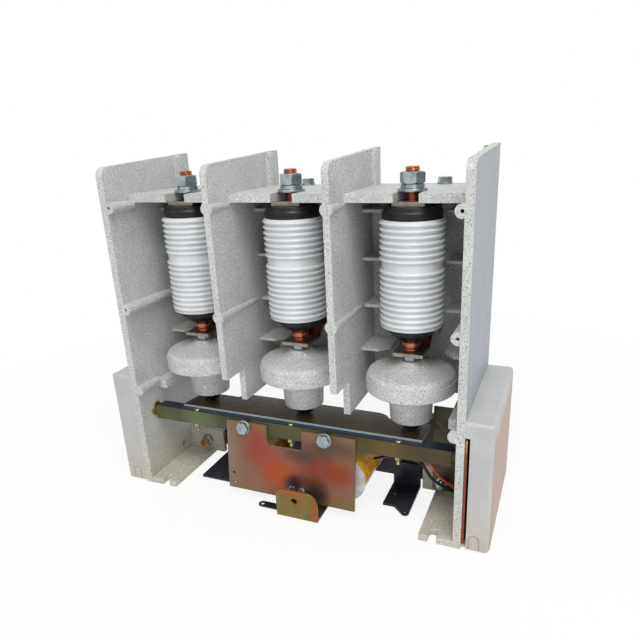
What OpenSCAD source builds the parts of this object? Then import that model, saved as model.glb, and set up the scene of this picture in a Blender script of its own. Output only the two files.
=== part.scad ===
// Three-pole vacuum contactor on a moulded frame, millimetres, +Z up, front towards -Y.

/* [Frame moulding] */
// Clear width of one pole's bay
bay_w = 118; // [110:1:140]
// Thickness of the barriers between the bays
barrier_t = 7; // [5:0.5:10]
// Thickness of the two outer walls
side_wall_t = 8; // [6:0.5:12]
// Depth of the open space behind the back wall
rear_rim = 22.5; // [20:0.5:30]
// Height of the walls above the shelf
wall_rise = 38.4; // [28:0.2:45]
// Rounding of the walls' front top corners
wall_round = 10; // [4:1:20]
// Fall of the walls' tops towards their front corners
wall_fall = 8; // [0:0.5:14]
// Height of the barriers' front edges above the shaft's axis
barrier_front_rise = 64; // [50:1:72]
// Height of the barriers' rear legs and of the back wall's foot above the shaft's axis
barrier_rear_rise = 25.5; // [22:0.5:30]
// Distance of the barriers' rear legs from the front
barrier_leg_y = 35; // [25:1:40]
// Room between the drive insulators and the back wall
back_room = 12.8; // [8:0.2:20]
// Thickness of the back wall
back_wall_t = 8; // [6:0.5:10]
// Reach of the flanges above the back wall from the walls and barriers
rear_flange_w = 5; // [3:0.5:14]
// Rounding of those flanges' top corners
rear_flange_round = 3; // [2:0.5:8]
// Distance of the shelf's and the foot rails' ends from the walls' rear edges
rear_inset = 5; // [3:0.5:8]

/* [Bosses and ribs] */
// Distance of the upper bosses below the shelf's underside
upper_boss_drop = 2.2; // [0:0.1:10]
// Height of the middle bosses above the back wall's foot
mid_boss_rise = 107.5; // [90:0.5:120]
// Diameter of a boss at the front
boss_d = 12.6; // [8:0.2:16]
// Diameter of a boss at its far end
boss_end_d = 9; // [6:0.5:12]
// Distance of the outer bosses' centres from the wall's inner face
boss_inset = 2; // [0:0.5:3]
// Diameter of the screw holes in the outer bosses
boss_hole_d = 3.5; // [2:0.1:5]
// Depth of those screw holes
boss_hole_depth = 18; // [8:1:30]
// Heights of the rib pairs above the back wall's foot, lowest first
rib_rise = [58.5, 104.5, 155, 204.5];
// Thickness of a rib
rib_t = 3; // [2:0.5:5]
// Reach of a rib from the side of its bay
rib_w = 30; // [15:1:32]
// Reach of a rib from the back wall
rib_depth = 34; // [20:1:38]
// Reach of the lowest ribs from the back wall
low_rib_depth = 45; // [36:1:48]
// Chamfer on the lowest ribs' inner corners
low_rib_chamfer = 12; // [6:1:20]
// Reach of the lower ledges from the outer walls
ledge_w = 14; // [8:1:18]
// Height of those ledges
ledge_h = 10.5; // [6:0.5:14]
// Diameter of the holes for the coil leads in the outer walls
wire_hole_d = 8; // [7:0.5:12]
// Distance of those holes from the front
wire_hole_y = 70; // [60:1:80]
// Height of those holes
wire_hole_z = 18; // [14:0.5:24]

/* [Shelf] */
// Distance of the shelf from the front
shelf_y = 36.7; // [30:0.5:40]
// Thickness of the shelf
shelf_t = 8.4; // [6:0.2:12]
// Width of the notch for the fixed stud
notch_w = 24; // [18:0.5:26]
// Diameter of the bolts in the shelf
shelf_bolt_d = 8; // [6:0.5:12]
// Distance of those bolts from each pole on both sides
shelf_bolt_x = 15; // [12:0.5:44]
// Distance of those bolts from the shelf's rear edge
shelf_bolt_inset = 10; // [9:0.5:14]

/* [Interrupter] */
// Radius of the ceramic between its ribs
ceramic_r = 29.6; // [27:0.1:30.5]
// Radius of one ceramic rib's rounding
ceramic_rib_r = 1.7; // [1.5:0.1:2.7]
// Radius of the ceramic over its ribs
ceramic_out_r = 31.7; // [30:0.1:33]
// Distance between neighbouring ribs
ceramic_pitch = 5.7; // [5.5:0.1:6]
// Ribs above the plain band
ribs_above = 7; // [5:1:7]
// Ribs below the plain band
ribs_below = 10; // [7:1:10]
// Height of the plain band
band_h = 6.6; // [3:0.1:7]
// Radius of the upper end cap
cap_r = 28; // [25:0.5:29]
// Height of the upper end cap
cap_h = 12.1; // [9:0.1:16]
// Height of the upper end cap's collar
cap_collar_h = 4.5; // [3:0.5:6]
// Radius of the lower end cap at its foot
cap_foot_r = 16; // [14:0.5:22]
// Height of the lower end cap
cap_low_h = 13.5; // [11:0.5:14]
// Diameter of the fixed stud
stud_d = 14; // [10:0.5:15]
// Length of the fixed stud above its nut
stud_end = 4.5; // [3:0.5:12]
// Width of the stud's nut across its flats
stud_nut_af = 21; // [19:0.5:24]
// Height of the stud's nut
stud_nut_h = 11; // [8:0.5:12]
// Thickness of the flat washer under the nut
flat_washer_t = 2.8; // [1.5:0.1:3]
// Thickness of the spring washer under the nut
spring_washer_t = 3.8; // [2:0.1:4]

/* [Terminals] */
// Width of the upper terminal bars
upper_bar_w = 31; // [24:1:40]
// Thickness of the upper terminal bars
upper_bar_t = 4.2; // [3:0.1:5]
// Distance of the upper bars' front ends from the front
upper_bar_y = 45; // [40:0.5:48]
// Width of the lower terminal bars
lower_bar_w = 40; // [34:1:50]
// Thickness of the lower terminal bars
lower_bar_t = 6; // [4:0.5:8]
// Height of the lower bars' underside above the links' lugs
link_rise = 8.5; // [6:0.5:12]
// Distance of the lower bars' front ends behind the poles' axis
lower_bar_back = 35.3; // [33:0.1:40]
// Reach of the bars behind the walls
bar_reach = 28; // [20:1:40]
// Diameter of the cable holes at the bars' rear ends
bar_hole_d = 11; // [8:0.5:12]
// Distance of the cable holes from the bars' ends
bar_hole_inset = 13; // [9:0.5:14]

/* [Drive insulator] */
// Radius of the neck at the foot
neck_r = 22; // [18:0.5:24]
// Radius of the neck under the disc
neck_top_r = 24; // [20:0.5:28]
// Height of the neck
neck_h = 35.5; // [32:0.5:38]
// Radius of the disc
disc_r = 47; // [40:0.5:50]
// Height of the disc's plain rim
rim_h = 13.5; // [8:0.5:14]
// Rounding over the rim
rim_round = 6; // [3:0.5:8]
// Width of the narrow step between rim and dome
rim_step = 0.8; // [0.4:0.1:2]
// Height of the insulator from foot to top
ins_h = 66.5; // [65.5:0.5:72]
// Rise of the dome over the rim's rounding
dome_rise = 8; // [5:0.5:9]
// Radius of the boss on top
ins_boss_r = 11; // [9.5:0.5:14]
// Radius of that boss where it leaves the dome
ins_boss_foot_r = 17; // [15:0.5:22]

/* [Moving contact] */
// Diameter of the copper stem
stem_d = 15; // [12:0.5:17]
// Running clearance of the stem in its guide, on the radius
stem_clear = 0.06; // [0.02:0.01:0.1]
// Visible length of the stem between its lug and the end cap
stem_show = 15.1; // [12:0.1:22]
// Reach of the stem into its guide
stem_reach = 7.8; // [5:0.1:9]
// Height of the collar on the stem
collar_h = 5; // [3:0.5:6]
// Reach of that collar past the stem
collar_t = 2; // [1:0.5:4]
// Room above the collar when the contacts are closed
collar_gap = 1; // [0.5:0.1:2]
// Thickness of the lug at the end of the flexible link
lug_t = 2.6; // [1.5:0.1:3]
// Width of the flexible link and its lug
link_w = 31; // [24:1:34]
// Thickness of the link's copper leaves together
link_t = 4; // [2.6:0.1:5]
// Width of the hex nut under the lug across its flats
drive_nut_af = 16; // [14:0.5:18]
// Diameter of the drive bolt
drive_bolt_d = 10; // [8:0.5:10]
// Clearance of the drive bolt in the lift plate, on the radius
drive_bolt_clear = 1.6; // [1.4:0.1:2.5]
// Height of the drive bolt's upper and lower nuts
drive_nut_h = 7; // [5:0.5:8]
// Height of the nut between the lift plate and the insulator
ins_nut_h = 10.2; // [8:0.1:14]
// Clearance of the drive nuts from the tilted lift plate
drive_nut_clear = 0.36; // [0.3:0.02:1]
// Length of the drive bolt below its lowest nut
drive_bolt_tail = 4; // [2:0.5:6]

/* [Main shaft] */
// Distance of the shaft's axis from the front
shaft_y = 28; // [27:0.5:29]
// Distance of the poles' axis behind the shaft's axis
drive_arm = 33.7; // [31:0.1:37]
// Depth of the square bar
shaft_bar_d = 18; // [15:0.5:18]
// Height of the square bar
shaft_bar_h = 16; // [14:0.5:16]
// Diameter of the round journals
journal_d = 15; // [12:0.5:15.5]
// Length of the square bar's ends left free beside the walls
journal_gap = 7; // [5:0.5:12]
// Running clearance of the journals, on the radius
journal_clear = 0.06; // [0.02:0.01:0.1]
// Wall of the brass bushes
bush_t = 2; // [1.5:0.1:3]
// Reach of the bushes past the walls' inner faces
bush_proud = 2; // [1:0.5:4]
// Angle between the open and the closed position
open_deg = 6; // [4:0.5:6]

/* [Lift plate and armature] */
// Thickness of the lift plate
lift_t = 3; // [2:0.5:3.5]
// Length of the lift plate past the outer poles
lift_end = 20; // [15:0.5:26]
// Distance of the plate's front edge behind the shaft's axis
lift_front = 1; // [0:0.5:3]
// Reach of the plate's ends behind the shaft's axis
lift_end_reach = 47; // [44:1:50]
// Reach of the plate's middle behind the shaft's axis
lift_mid_reach = 60; // [55:1:64]
// Half length of the plate's deeper middle
lift_mid_half = 98; // [85:1:105]
// Rounding of the middle's rear corners
lift_round = 20; // [10:1:24]
// Width of the armature plate
arm_w = 155; // [140:1:170]
// Thickness of the armature plate
arm_t = 3; // [2:0.5:4]
// Reach of the armature plate above the shaft's axis
arm_up = 5; // [3:0.5:7]
// Height of the armature plate's lower edge above the floor, closed
arm_foot_z = 10.3; // [8:0.1:16]
// Offset of the bolts and the notch to the left
arm_shift = 5.5; // [0:0.5:6]
// Distance between the two armature bolts
arm_bolt_pitch = 98; // [80:1:104]
// Diameter of the armature bolts
arm_bolt_d = 8; // [6:0.5:8]
// Width of the notch in the plate's top edge
arm_notch_w = 43; // [30:1:50]
// Depth of that notch
arm_notch_h = 23; // [15:1:28]
// Rounding of the notch's lower corners
arm_notch_r = 4; // [2:0.5:6]
// Diameter of the screws in the shaft and low on the armature plate
screw_d = 5; // [4:0.5:6]
// Distance of the shaft screws in front of the shaft's axis
screw_front = 4; // [2:0.5:5]
// Distance of the outer shaft screws inside the outer poles
screw_inset = 3; // [0:0.5:8]
// Length of the shaft screws below the shaft
screw_tail = 9; // [6:0.5:12]
// Places of the small bolts on the armature plate, to the right
arm_screw_x = [5, 17];
// Height of those bolts above the plate's lower edge
arm_screw_rise = 13; // [10:0.5:16]
// Heights of the small holes above the plate's lower edge
arm_hole_rise = [6, 19];
// Distance of the small holes from the plate's left edge
arm_hole_inset = 7; // [5:0.5:12]
// Diameter of the small holes
arm_hole_d = 3.5; // [2.5:0.1:5]

/* [Magnet] */
// Room between the left base plate and its coil
coil_side_gap = 1; // [0.5:0.5:6]
// Room between the base sheet and the coils
coil_lift = 7.8; // [4:0.2:12]
// Room between the coils and the shaft's bar
coil_gap = 14; // [10:0.5:20]
// Length of a coil over its flanges
coil_len = 67.5; // [60:0.5:75]
// Clearance of the coils round their cores, on the radius
core_clear = 0.3; // [0.2:0.1:0.8]
// Radius of the wound coils
coil_r = 26; // [20:0.5:27]
// Radius of the coils' end flanges
flange_r = 27; // [24:0.5:28]
// Thickness of the coils' end flanges
flange_t = 2.5; // [1.5:0.5:4]
// Radius of the iron cores
core_r = 12; // [8:0.5:16]
// Air gap between the closed armature and the cores
closed_gap = 1.5; // [1:0.1:3]
// Distance of the coil ends behind the core faces
core_proud = 4; // [3:0.5:8]
// Thickness of the yoke
yoke_t = 6; // [4:0.5:10]
// Reach of the yoke past the coils on each side
yoke_side = 11; // [4:0.5:16]
// Height of the yoke's lower edge above the foot rails
yoke_lift = 5; // [1:0.5:6]
// Reach of the yoke above the coils
yoke_rise = 2; // [0:0.5:6]
// Radius of the hollow corners at the yoke's top
yoke_corner_r = 8; // [4:0.5:12]
// Diameter of a coil lead
lead_d = 3.2; // [2.4:0.1:3.4]

/* [Base] */
// Width of the foot rails
foot_w = 35; // [30:0.5:42]
// Thickness of the foot rails
foot_t = 7.5; // [5:0.5:9]
// Width of the foot slots
foot_slot_w = 9; // [7:0.5:11]
// Depth of the foot slots
foot_slot_l = 13; // [9:0.5:18]
// Distance of the slots from the foot rails' inner edges
foot_slot_inset = 14; // [10:0.5:18]
// Width of the yoke pads
pad_w = 51; // [44:0.5:54]
// Height of the yoke pads' top edge
pad_top_z = 35; // [30:0.5:45]
// Thickness of the yoke pads
pad_t = 6; // [4:0.5:8]
// Distance of the yoke bolts from the outer walls
yoke_bolt_inset = 28; // [20:0.5:34]
// Height of the yoke bolts
yoke_bolt_z = 20; // [18:0.5:23]
// Diameter of the yoke bolts
yoke_bolt_d = 8; // [6:0.5:10]
// Length of the yoke bolts' threads in front of their nuts
yoke_bolt_end = 8; // [4:0.5:12]
// Room between the base plates and the yoke pads
base_plate_gap = 3; // [1:0.5:8]
// Width of the left base plate
left_plate_w = 44; // [36:1:46]
// Width of the right base plate
right_plate_w = 32; // [26:1:38]
// Distance of the left base plate's front edge behind the shaft's axis
left_plate_front = 1; // [0:0.5:8]
// Distance of the right base plate's front edge behind the shaft's axis
right_plate_front = 16.5; // [12:0.5:26]
// Width of the tongue on the right base plate at its root
tongue_w = 19; // [14:0.5:24]
// Width of that tongue at its end
tongue_end_w = 9; // [7:0.5:14]
// Length of that tongue
tongue_l = 12; // [8:0.5:18]
// Diameter of the holes in the base plates
plate_hole_d = 4.5; // [3:0.5:6]
// Distance of those holes from the plates' front edges
plate_hole_inset = 7; // [5:0.5:7]
// Thickness of the base plates and the stop bracket
sheet_t = 3; // [2:0.5:4]
// Height of that sheet above the floor
sheet_z = 1.2; // [0.5:0.1:3]
// Height of the base plates' upturned ends
upturn_z = 32; // [20:1:36]

/* [Auxiliary switch] */
// Width of the switch bracket beside the right wall
bracket_w = 39; // [34:0.5:44]
// Thickness of the switch bracket
bracket_t = 2; // [1:0.5:3]
// Distance of the bracket's top below the ledge
bracket_drop = 1.5; // [1:0.5:10]
// Width of the auxiliary switch
switch_w = 22; // [18:0.5:26]
// Depth of the auxiliary switch
switch_d = 18; // [12:0.5:20]
// Height of the auxiliary switch
switch_h = 52; // [40:1:56]
// Width of the switch that the bracket covers
switch_lap = 7; // [5:0.5:10]
// Room between the yoke pad and the switch
switch_gap = 7; // [2:0.5:12]

/* [Stop bracket] */
// Distance of the tab's face in front of the walls
tab_reach = 9.5; // [6:0.5:20]
// Left edge of the tab from the middle
tab_left = 7.5; // [4:0.5:12]
// Width of the tab
tab_w = 49; // [44:1:60]
// Height of the tab's top edge
tab_top_z = 35; // [30:0.5:40]
// Chamfer on the tab's left corner
tab_chamfer = 5; // [2:0.5:8]
// Rounding of the tab's right corner
tab_round = 13; // [6:0.5:16]
// Diameter of the hole in the tab
tab_hole_d = 7; // [4:0.5:10]
// Distance of that hole from the tab's left edge
tab_hole_x = 22; // [16:0.5:30]
// Distance of that hole below the tab's top edge
tab_hole_drop = 12.5; // [8:0.5:18]
// Width of the latch strip behind the tab
strip_w = 9; // [6:0.5:12]
// Reach of the latch strip to the left of the tab
strip_reach = 26; // [15:1:35]
// Thickness of the latch strip
strip_t = 2; // [1:0.5:3]

/* [Side covers] */
// Width of a side cover
cover_w = 28; // [20:0.5:40]
// Height of a side cover's top
cover_top_z = 141; // [132:1:145]
// Clearance of a side cover above the floor
cover_foot_z = 2; // [1:0.5:4]
// Distance of the side covers' rear ends from the walls' rear edges
cover_inset = 3; // [1:0.5:40]
// Wall of a side cover
cover_t = 2.5; // [1.5:0.5:4]
// Rounding of a side cover's outer edges
cover_round = 6; // [4:0.5:8]
// Width of the slot between the right wall and its cover
cover_slot_w = 5; // [4:0.5:8]
// Distance of that slot's upper end below the cover's top
cover_slot_drop = 16; // [8:0.5:24]
// Width of the knock-out at the cover's front foot
knockout_w = 11; // [8:0.5:12]
// Height of the knock-out
knockout_h = 17; // [12:0.5:24]
// Width and depth of the groove round the knock-out
knockout_groove = 0.9; // [0.6:0.1:1.2]
// Distance of the knock-out from the slot
knockout_x = 2; // [1:0.5:3]
// Thickness of the terminal board inside the right cover
board_t = 2.4; // [1.5:0.1:3]
// Height of the terminal board
board_h = 103; // [90:1:110]
// Height of the brass strip on the board
board_strip_h = 15; // [8:0.5:18]
// Depth of the brass strip
board_strip_l = 20; // [12:0.5:30]

/* [Hidden] */
$fn = 64;
eps = 0.01;
// Gap left around pieces that are pushed into holes and slots
fit = 0.05;

// Proportions of hex fasteners: width across flats, head, nut and washer for each millimetre of thread
hex_af = 1.6;
head_ratio = 0.65;
nut_ratio = 0.8;
washer_ratio = 2;
washer_t = 2;

pole_pitch = bay_w + barrier_t;
poles = [-pole_pitch, 0, pole_pitch];
sides = [-1, 1];
barrier_x = pole_pitch / 2;
inner_x = pole_pitch + bay_w / 2;
outer_x = inner_x + side_wall_t;

pole_y = shaft_y + drive_arm;
back_wall_y = pole_y + disc_r + back_room;
wall_depth = back_wall_y + back_wall_t + rear_rim;
rear_end = wall_depth + bar_reach;
mid_y = (rear_end - tab_reach) / 2;
shelf_end_y = wall_depth - rear_inset;

sheet_top = sheet_z + sheet_t;
coil_z = sheet_top + coil_lift + flange_r;
shaft_z = coil_z + flange_r + coil_gap + shaft_bar_h / 2;
barrier_front_z = shaft_z + barrier_front_rise;
barrier_rear_z = shaft_z + barrier_rear_rise;
rib_z = [for (rise = rib_rise) barrier_rear_z + rise];
rib_front_y = back_wall_y - rib_depth;

lift_z = shaft_bar_h / 2;
lift_mid_z = lift_z + lift_t / 2;
lift_stroke = drive_arm * sin(open_deg);
hole_reach = (drive_arm * (1 + 1 / cos(open_deg)) - lift_mid_z * tan(open_deg)) / 2;
// Height of the lift plate's middle at the drive bolts when the contactor is open
lift_rest_z = shaft_z + lift_mid_z * cos(open_deg) - hole_reach * sin(open_deg);
// Room a nut needs beside the tilted plate
tilt_room = drive_nut_af / 2 / cos(30) * tan(open_deg) + lift_t / 2 + drive_nut_clear;
lift_half = pole_pitch + lift_end;

ins_z = lift_rest_z + tilt_room + ins_nut_h;
ins_top_z = ins_z + ins_h;
rim_top = neck_h + rim_h;
lug_z = ins_top_z + drive_nut_h;
stem_z = lug_z + lug_t;
guide_z = stem_z + stem_show;
stem_top_z = guide_z + stem_reach;
collar_z = guide_z - collar_gap - lift_stroke - collar_h;

lower_bar_z = lug_z + link_rise;
lower_bar_y = pole_y + lower_bar_back;
link_top_z = lower_bar_z + lower_bar_t;
link_front_y = pole_y - link_w / 2;
// The S of the links starts behind the stem and has this many steps
s_front = pole_y + stem_d;
s_steps = 16;
link_pad_end_y = back_wall_y - 1;

ceramic_z = guide_z + cap_low_h;
ceramic_rib_c = ceramic_out_r - ceramic_rib_r;
ribs_below_top = (ribs_below + 0.5) * ceramic_pitch;
ribs_above_foot = ribs_below_top + band_h;
ceramic_h = ribs_above_foot + (ribs_above - 0.2) * ceramic_pitch;
ceramic_top_z = ceramic_z + ceramic_h;
upper_bar_z = ceramic_top_z + cap_h;
shelf_z = upper_bar_z + upper_bar_t;
shelf_top_z = shelf_z + shelf_t;
shelf_bolt_y = shelf_end_y - shelf_bolt_inset;
wall_h = shelf_top_z + wall_rise;
wall_front_h = wall_h - wall_fall;
flange_top_z = wall_h - wall_fall * (wall_depth - back_wall_y) / (wall_depth - wall_round);
stud_washer_z = shelf_top_z + flat_washer_t;
stud_nut_z = stud_washer_z + spring_washer_t;
stud_top_z = stud_nut_z + stud_nut_h + stud_end;

ledge_z = barrier_rear_z;
boss_x = inner_x - boss_inset;
boss_z = [shelf_z - upper_boss_drop, barrier_rear_z + mid_boss_rise, ledge_z + ledge_h];
boss_lengths = [shelf_y, rib_front_y, barrier_leg_y];

shaft_bar_half = inner_x - journal_gap;
screw_x = [-pole_pitch + screw_inset, 0, pole_pitch - screw_inset];
arm_down = shaft_z - arm_foot_z;
arm_back = -shaft_bar_d / 2;
arm_face = arm_back - arm_t;
core_face_y = shaft_y + arm_back + closed_gap;
coil_front_y = core_face_y + core_proud;
yoke_y = coil_front_y + coil_len;
yoke_top_z = coil_z + flange_r + yoke_rise;
yoke_bolt_x = inner_x - yoke_bolt_inset;
pad_x = inner_x - pad_w;
foot_x = inner_x - foot_w;
base_plate_x = pad_x - base_plate_gap;
coil_x = base_plate_x - left_plate_w - coil_side_gap - flange_r;
yoke_half = coil_x + flange_r + yoke_side;
bracket_y = yoke_y - pad_t - bracket_t;
bracket_x = inner_x - bracket_w;
tab_y = -tab_reach;
cover_x = outer_x + cover_w;
cover_slot_z = cover_top_z - cover_slot_drop;
cover_depth = wall_depth - cover_inset;
board_z = cover_foot_z + cover_t;
board_y = cover_t + 1;

// Number of flat sides round a lead
lead_sides = 8;
// Routes of the two coil leads from the right coil to the hole in the right wall: distance from the coil's
// axis, then y and z; what lies past lead_start stretches with lead_span, the distance to the wall's outside
lead_start = 34;
lead_span = 134;
lead_routes = [
    [[17, 62, 59.3], [21, 62, 64], [34, 61, 69.5], [54, 57, 71.5], [72, 52.5, 69.5], [84, 50, 66],
     [92, 50, 60], [99, 50, 51], [106, 51, 43], [113, 55, 36], [119, 62, 27], [124, 68, 21],
     [127, 70, 19.7], [132, 70, 19.7]],
    [[25, 62, 48], [30, 62, 49.8], [44, 60.5, 56], [60, 57, 60], [74, 53, 60.5], [83, 50.5, 57.5],
     [88, 50, 51], [92, 50, 44.5], [99, 50.5, 38.5], [107, 53, 33], [114, 59, 26], [120, 65, 20],
     [124, 68.5, 17.2], [127, 70, 16.3], [132, 70, 16.3]]
];

// Puts the origin under the middle of the whole object.
module placed() {
    translate([0, -mid_y, 0]) children();
}

// Turns an outline drawn in (y, z) into a slab of thickness t that starts at x.
module slab_x(x, t) {
    translate([x, 0, 0]) rotate([90, 0, 90]) linear_extrude(t) children();
}

// Turns an outline drawn in (x, z) into a slab of thickness t that starts at y and runs back.
module slab_y(y, t) {
    translate([0, y + t, 0]) rotate([90, 0, 0]) linear_extrude(t) children();
}

// A round bar or hole along +Y.
module along_y(d, h) {
    rotate([-90, 0, 0]) cylinder(d = d, h = h);
}

// What is left over when a square corner of size r is rounded; the corner is at the origin.
module corner_waste(r) {
    difference() {
        translate([-eps, -eps]) square(r + eps);
        translate([r, r]) circle(r);
    }
}

// A hexagonal prism of the width af across its flats, standing on the origin.
module hex(af, h) {
    cylinder(d = af / cos(30), h = h, $fn = 6);
}

// The shaft, the lift plate and the armature, drawn about the shaft's axis as they lie when closed.
module opened() {
    translate([0, shaft_y, shaft_z]) rotate([-open_deg, 0, 0]) children();
}

// Frame moulding

module wall_outline(foot_z) {
    difference() {
        polygon([[0, foot_z], [wall_depth, foot_z], [wall_depth, wall_h], [wall_round, wall_front_h],
                 [0, wall_front_h]]);
        translate([0, wall_front_h]) mirror([0, 1]) corner_waste(wall_round);
    }
}

module boss(x, z, length) {
    translate([x, 0, z]) rotate([-90, 0, 0]) cylinder(d1 = boss_d, d2 = boss_end_d, h = length);
}

// A flange in the back wall's plane above the shelf, on the +X side of the face at x.
module rear_flange(x) {
    slab_y(back_wall_y, back_wall_t) difference() {
        translate([x - eps, shelf_top_z]) square([rear_flange_w + eps, flange_top_z - shelf_top_z]);
        translate([x + rear_flange_w, flange_top_z]) rotate(180) corner_waste(rear_flange_round);
    }
}

// One outer wall on the +X side, with its bosses, its ledge and the holes for bush and wires.
module side_wall() {
    difference() {
        union() {
            slab_x(inner_x, side_wall_t) wall_outline(0);
            intersection() {
                for (i = [0 : 2]) boss(boss_x, boss_z[i], boss_lengths[i]);
                translate([0, -eps, 0]) cube([outer_x, wall_depth, wall_h]);
            }
            translate([inner_x - ledge_w, barrier_leg_y, ledge_z])
                cube([ledge_w + eps, back_wall_y - barrier_leg_y, ledge_h]);
            mirror([1, 0, 0]) rear_flange(-inner_x);
        }
        for (i = [0 : 1]) translate([boss_x, -eps, boss_z[i]]) along_y(boss_hole_d, boss_hole_depth);
        translate([inner_x - eps, shaft_y, shaft_z]) rotate([0, 90, 0])
            cylinder(d = journal_d + 2 * (journal_clear + bush_t + fit), h = side_wall_t + 2 * eps);
        translate([inner_x - eps, wire_hole_y, wire_hole_z]) rotate([0, 90, 0])
            cylinder(d = wire_hole_d, h = side_wall_t + 2 * eps);
    }
}

module left_side_wall() color("gainsboro") mirror([1, 0, 0]) side_wall();
module right_side_wall() color("gainsboro") side_wall();

// One barrier between two bays: its front ends above the drive, its rear legs reach lower.
module phase_barrier() {
    translate([barrier_x, 0, 0]) {
        slab_x(-barrier_t / 2, barrier_t) difference() {
            wall_outline(barrier_rear_z);
            translate([-eps, barrier_rear_z - eps])
                square([barrier_leg_y, barrier_front_z - barrier_rear_z]);
        }
        for (i = [0 : 1]) boss(0, boss_z[i], boss_lengths[i]);
        for (side = sides) mirror([side < 0 ? 1 : 0, 0, 0]) rear_flange(barrier_t / 2);
    }
}

module left_phase_barrier() color("gainsboro") mirror([1, 0, 0]) phase_barrier();
module right_phase_barrier() color("gainsboro") phase_barrier();

// The back of each bay, with slots for the terminal bars.
module back_wall() color("gainsboro") {
    for (x = poles) translate([x, 0, 0]) difference() {
        translate([-bay_w / 2, back_wall_y, barrier_rear_z])
            cube([bay_w, back_wall_t, shelf_z - barrier_rear_z]);
        bar_slot(upper_bar_w, upper_bar_z, upper_bar_t + fit);
        bar_slot(lower_bar_w, lower_bar_z, lower_bar_t);
    }
}

module bar_slot(w, z, t) {
    translate([-w / 2 - fit, back_wall_y - eps, z - fit])
        cube([w + 2 * fit, back_wall_t + 2 * eps, t + 2 * fit]);
}

// Rib pairs in the rear corners of the bays; the lowest ones are deeper and chamfered.
module back_wall_ribs() color("gainsboro") {
    for (x = poles, side = sides, i = [0 : 3])
        translate([x, back_wall_y, rib_z[i]]) mirror([side < 0 ? 1 : 0, 0, 0])
            linear_extrude(rib_t) rib_outline(i == 0 ? low_rib_depth : rib_depth,
                                              i == 0 ? low_rib_chamfer : eps);
}

module rib_outline(depth, chamfer) {
    polygon([[bay_w / 2, 0], [bay_w / 2, -depth], [bay_w / 2 - rib_w + chamfer, -depth],
             [bay_w / 2 - rib_w, -depth + chamfer], [bay_w / 2 - rib_w, 0]]);
}

module top_shelves() color("gainsboro") {
    for (x = poles) translate([x, 0, shelf_z]) linear_extrude(shelf_t) difference() {
        translate([-bay_w / 2, shelf_y])
            square([bay_w, shelf_end_y - shelf_y]);
        translate([0, pole_y]) circle(d = notch_w);
        translate([-notch_w / 2, shelf_y - eps]) square([notch_w, pole_y - shelf_y + eps]);
        for (side = sides) translate([side * shelf_bolt_x, shelf_bolt_y]) circle(d = shelf_bolt_d + 2 * fit);
    }
}

// A foot rail on the +X side with its slots and the upright pad that carries the yoke.
module foot_rail() {
    slot_x = foot_x + foot_slot_inset;
    linear_extrude(foot_t) difference() {
        translate([foot_x, 0]) square([foot_w, shelf_end_y]);
        foot_slot(slot_x, 0, 1);
        foot_slot(slot_x, shelf_end_y, -1);
    }
    difference() {
        translate([pad_x, yoke_y - pad_t, foot_t / 2])
            cube([pad_w, pad_t, pad_top_z - foot_t / 2]);
        translate([yoke_bolt_x, yoke_y - pad_t - eps, yoke_bolt_z])
            along_y(yoke_bolt_d + 2 * fit, pad_t + 2 * eps);
    }
}

module foot_slot(x, y, inward) {
    reach = foot_slot_l - foot_slot_w / 2;
    translate([x, y + inward * reach]) circle(d = foot_slot_w);
    translate([x - foot_slot_w / 2, inward > 0 ? y - eps : y - reach]) square([foot_slot_w, reach + eps]);
}

module left_foot_rail() color("gainsboro") mirror([1, 0, 0]) foot_rail();
module right_foot_rail() color("gainsboro") foot_rail();

// A side cover on the +X side: a shell that is open towards its wall; its children are cut out of it.
module side_cover() {
    inside_w = cover_w - cover_t;
    difference() {
        slab_x(outer_x, cover_w) cover_outline(0);
        translate([outer_x - eps, 0, 0]) slab_x(0, inside_w) cover_outline(cover_t);
        children();
        for (z = [cover_foot_z, cover_top_z]) cover_edge_waste(z);
        cover_front_waste();
        translate([outer_x + cover_slot_w + knockout_x, 0, cover_foot_z])
        slab_y(-eps, knockout_groove) difference() {
            knockout_outline(0);
            knockout_outline(knockout_groove);
        }
    }
}

// The arched outline of a knock-out that stands on the cover's foot.
module knockout_outline(inset) {
    half = knockout_w / 2;
    translate([half, knockout_h - half]) circle(half - inset);
    translate([inset, -1]) square([knockout_w - 2 * inset, knockout_h - half + 1]);
}

module cover_outline(inset) {
    translate([inset, cover_foot_z + inset])
        square([cover_depth - 2 * inset, cover_top_z - cover_foot_z - 2 * inset]);
}

// Rounds the cover's outer edge along its top or its foot.
module cover_edge_waste(z) {
    translate([cover_x, -eps, z]) rotate([-90, 0, 0]) mirror([1, z < cover_top_z ? 1 : 0, 0])
        linear_extrude(cover_depth + 2 * eps) corner_waste(cover_round - cover_t / 2);
}

// Rounds the cover's outer edge along its front and its top front edge.
module cover_front_waste() {
    round_r = cover_round - cover_t / 2;
    translate([cover_x, 0, 0]) mirror([1, 0, 0]) linear_extrude(cover_top_z + eps) corner_waste(round_r);
    slab_x(outer_x - eps, cover_w + 2 * eps)
        translate([0, cover_top_z]) mirror([0, 1]) corner_waste(round_r);
}

module left_side_cover() color("whitesmoke") mirror([1, 0, 0]) side_cover();
module right_side_cover() color("whitesmoke") side_cover()
    translate([outer_x - eps, -eps, cover_foot_z - eps])
        cube([cover_slot_w, cover_t + 2 * eps, cover_slot_z - cover_foot_z]);

// A laminate board that stands between the right wall and its cover.
module terminal_boards() color("saddlebrown") {
    translate([outer_x, board_y, board_z]) cube([board_t, cover_depth - 2 * board_y, board_h]);
}

// A brass strip with a rounded top that stands on the board's front end.
module board_strips() color("goldenrod") slab_x(outer_x, board_t) difference() {
    translate([board_y, board_z + board_h]) square([board_strip_l, board_strip_h]);
    translate([board_y, board_z + board_h + board_strip_h]) mirror([0, 1]) corner_waste(board_strip_h / 2);
}

// Interrupters

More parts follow.
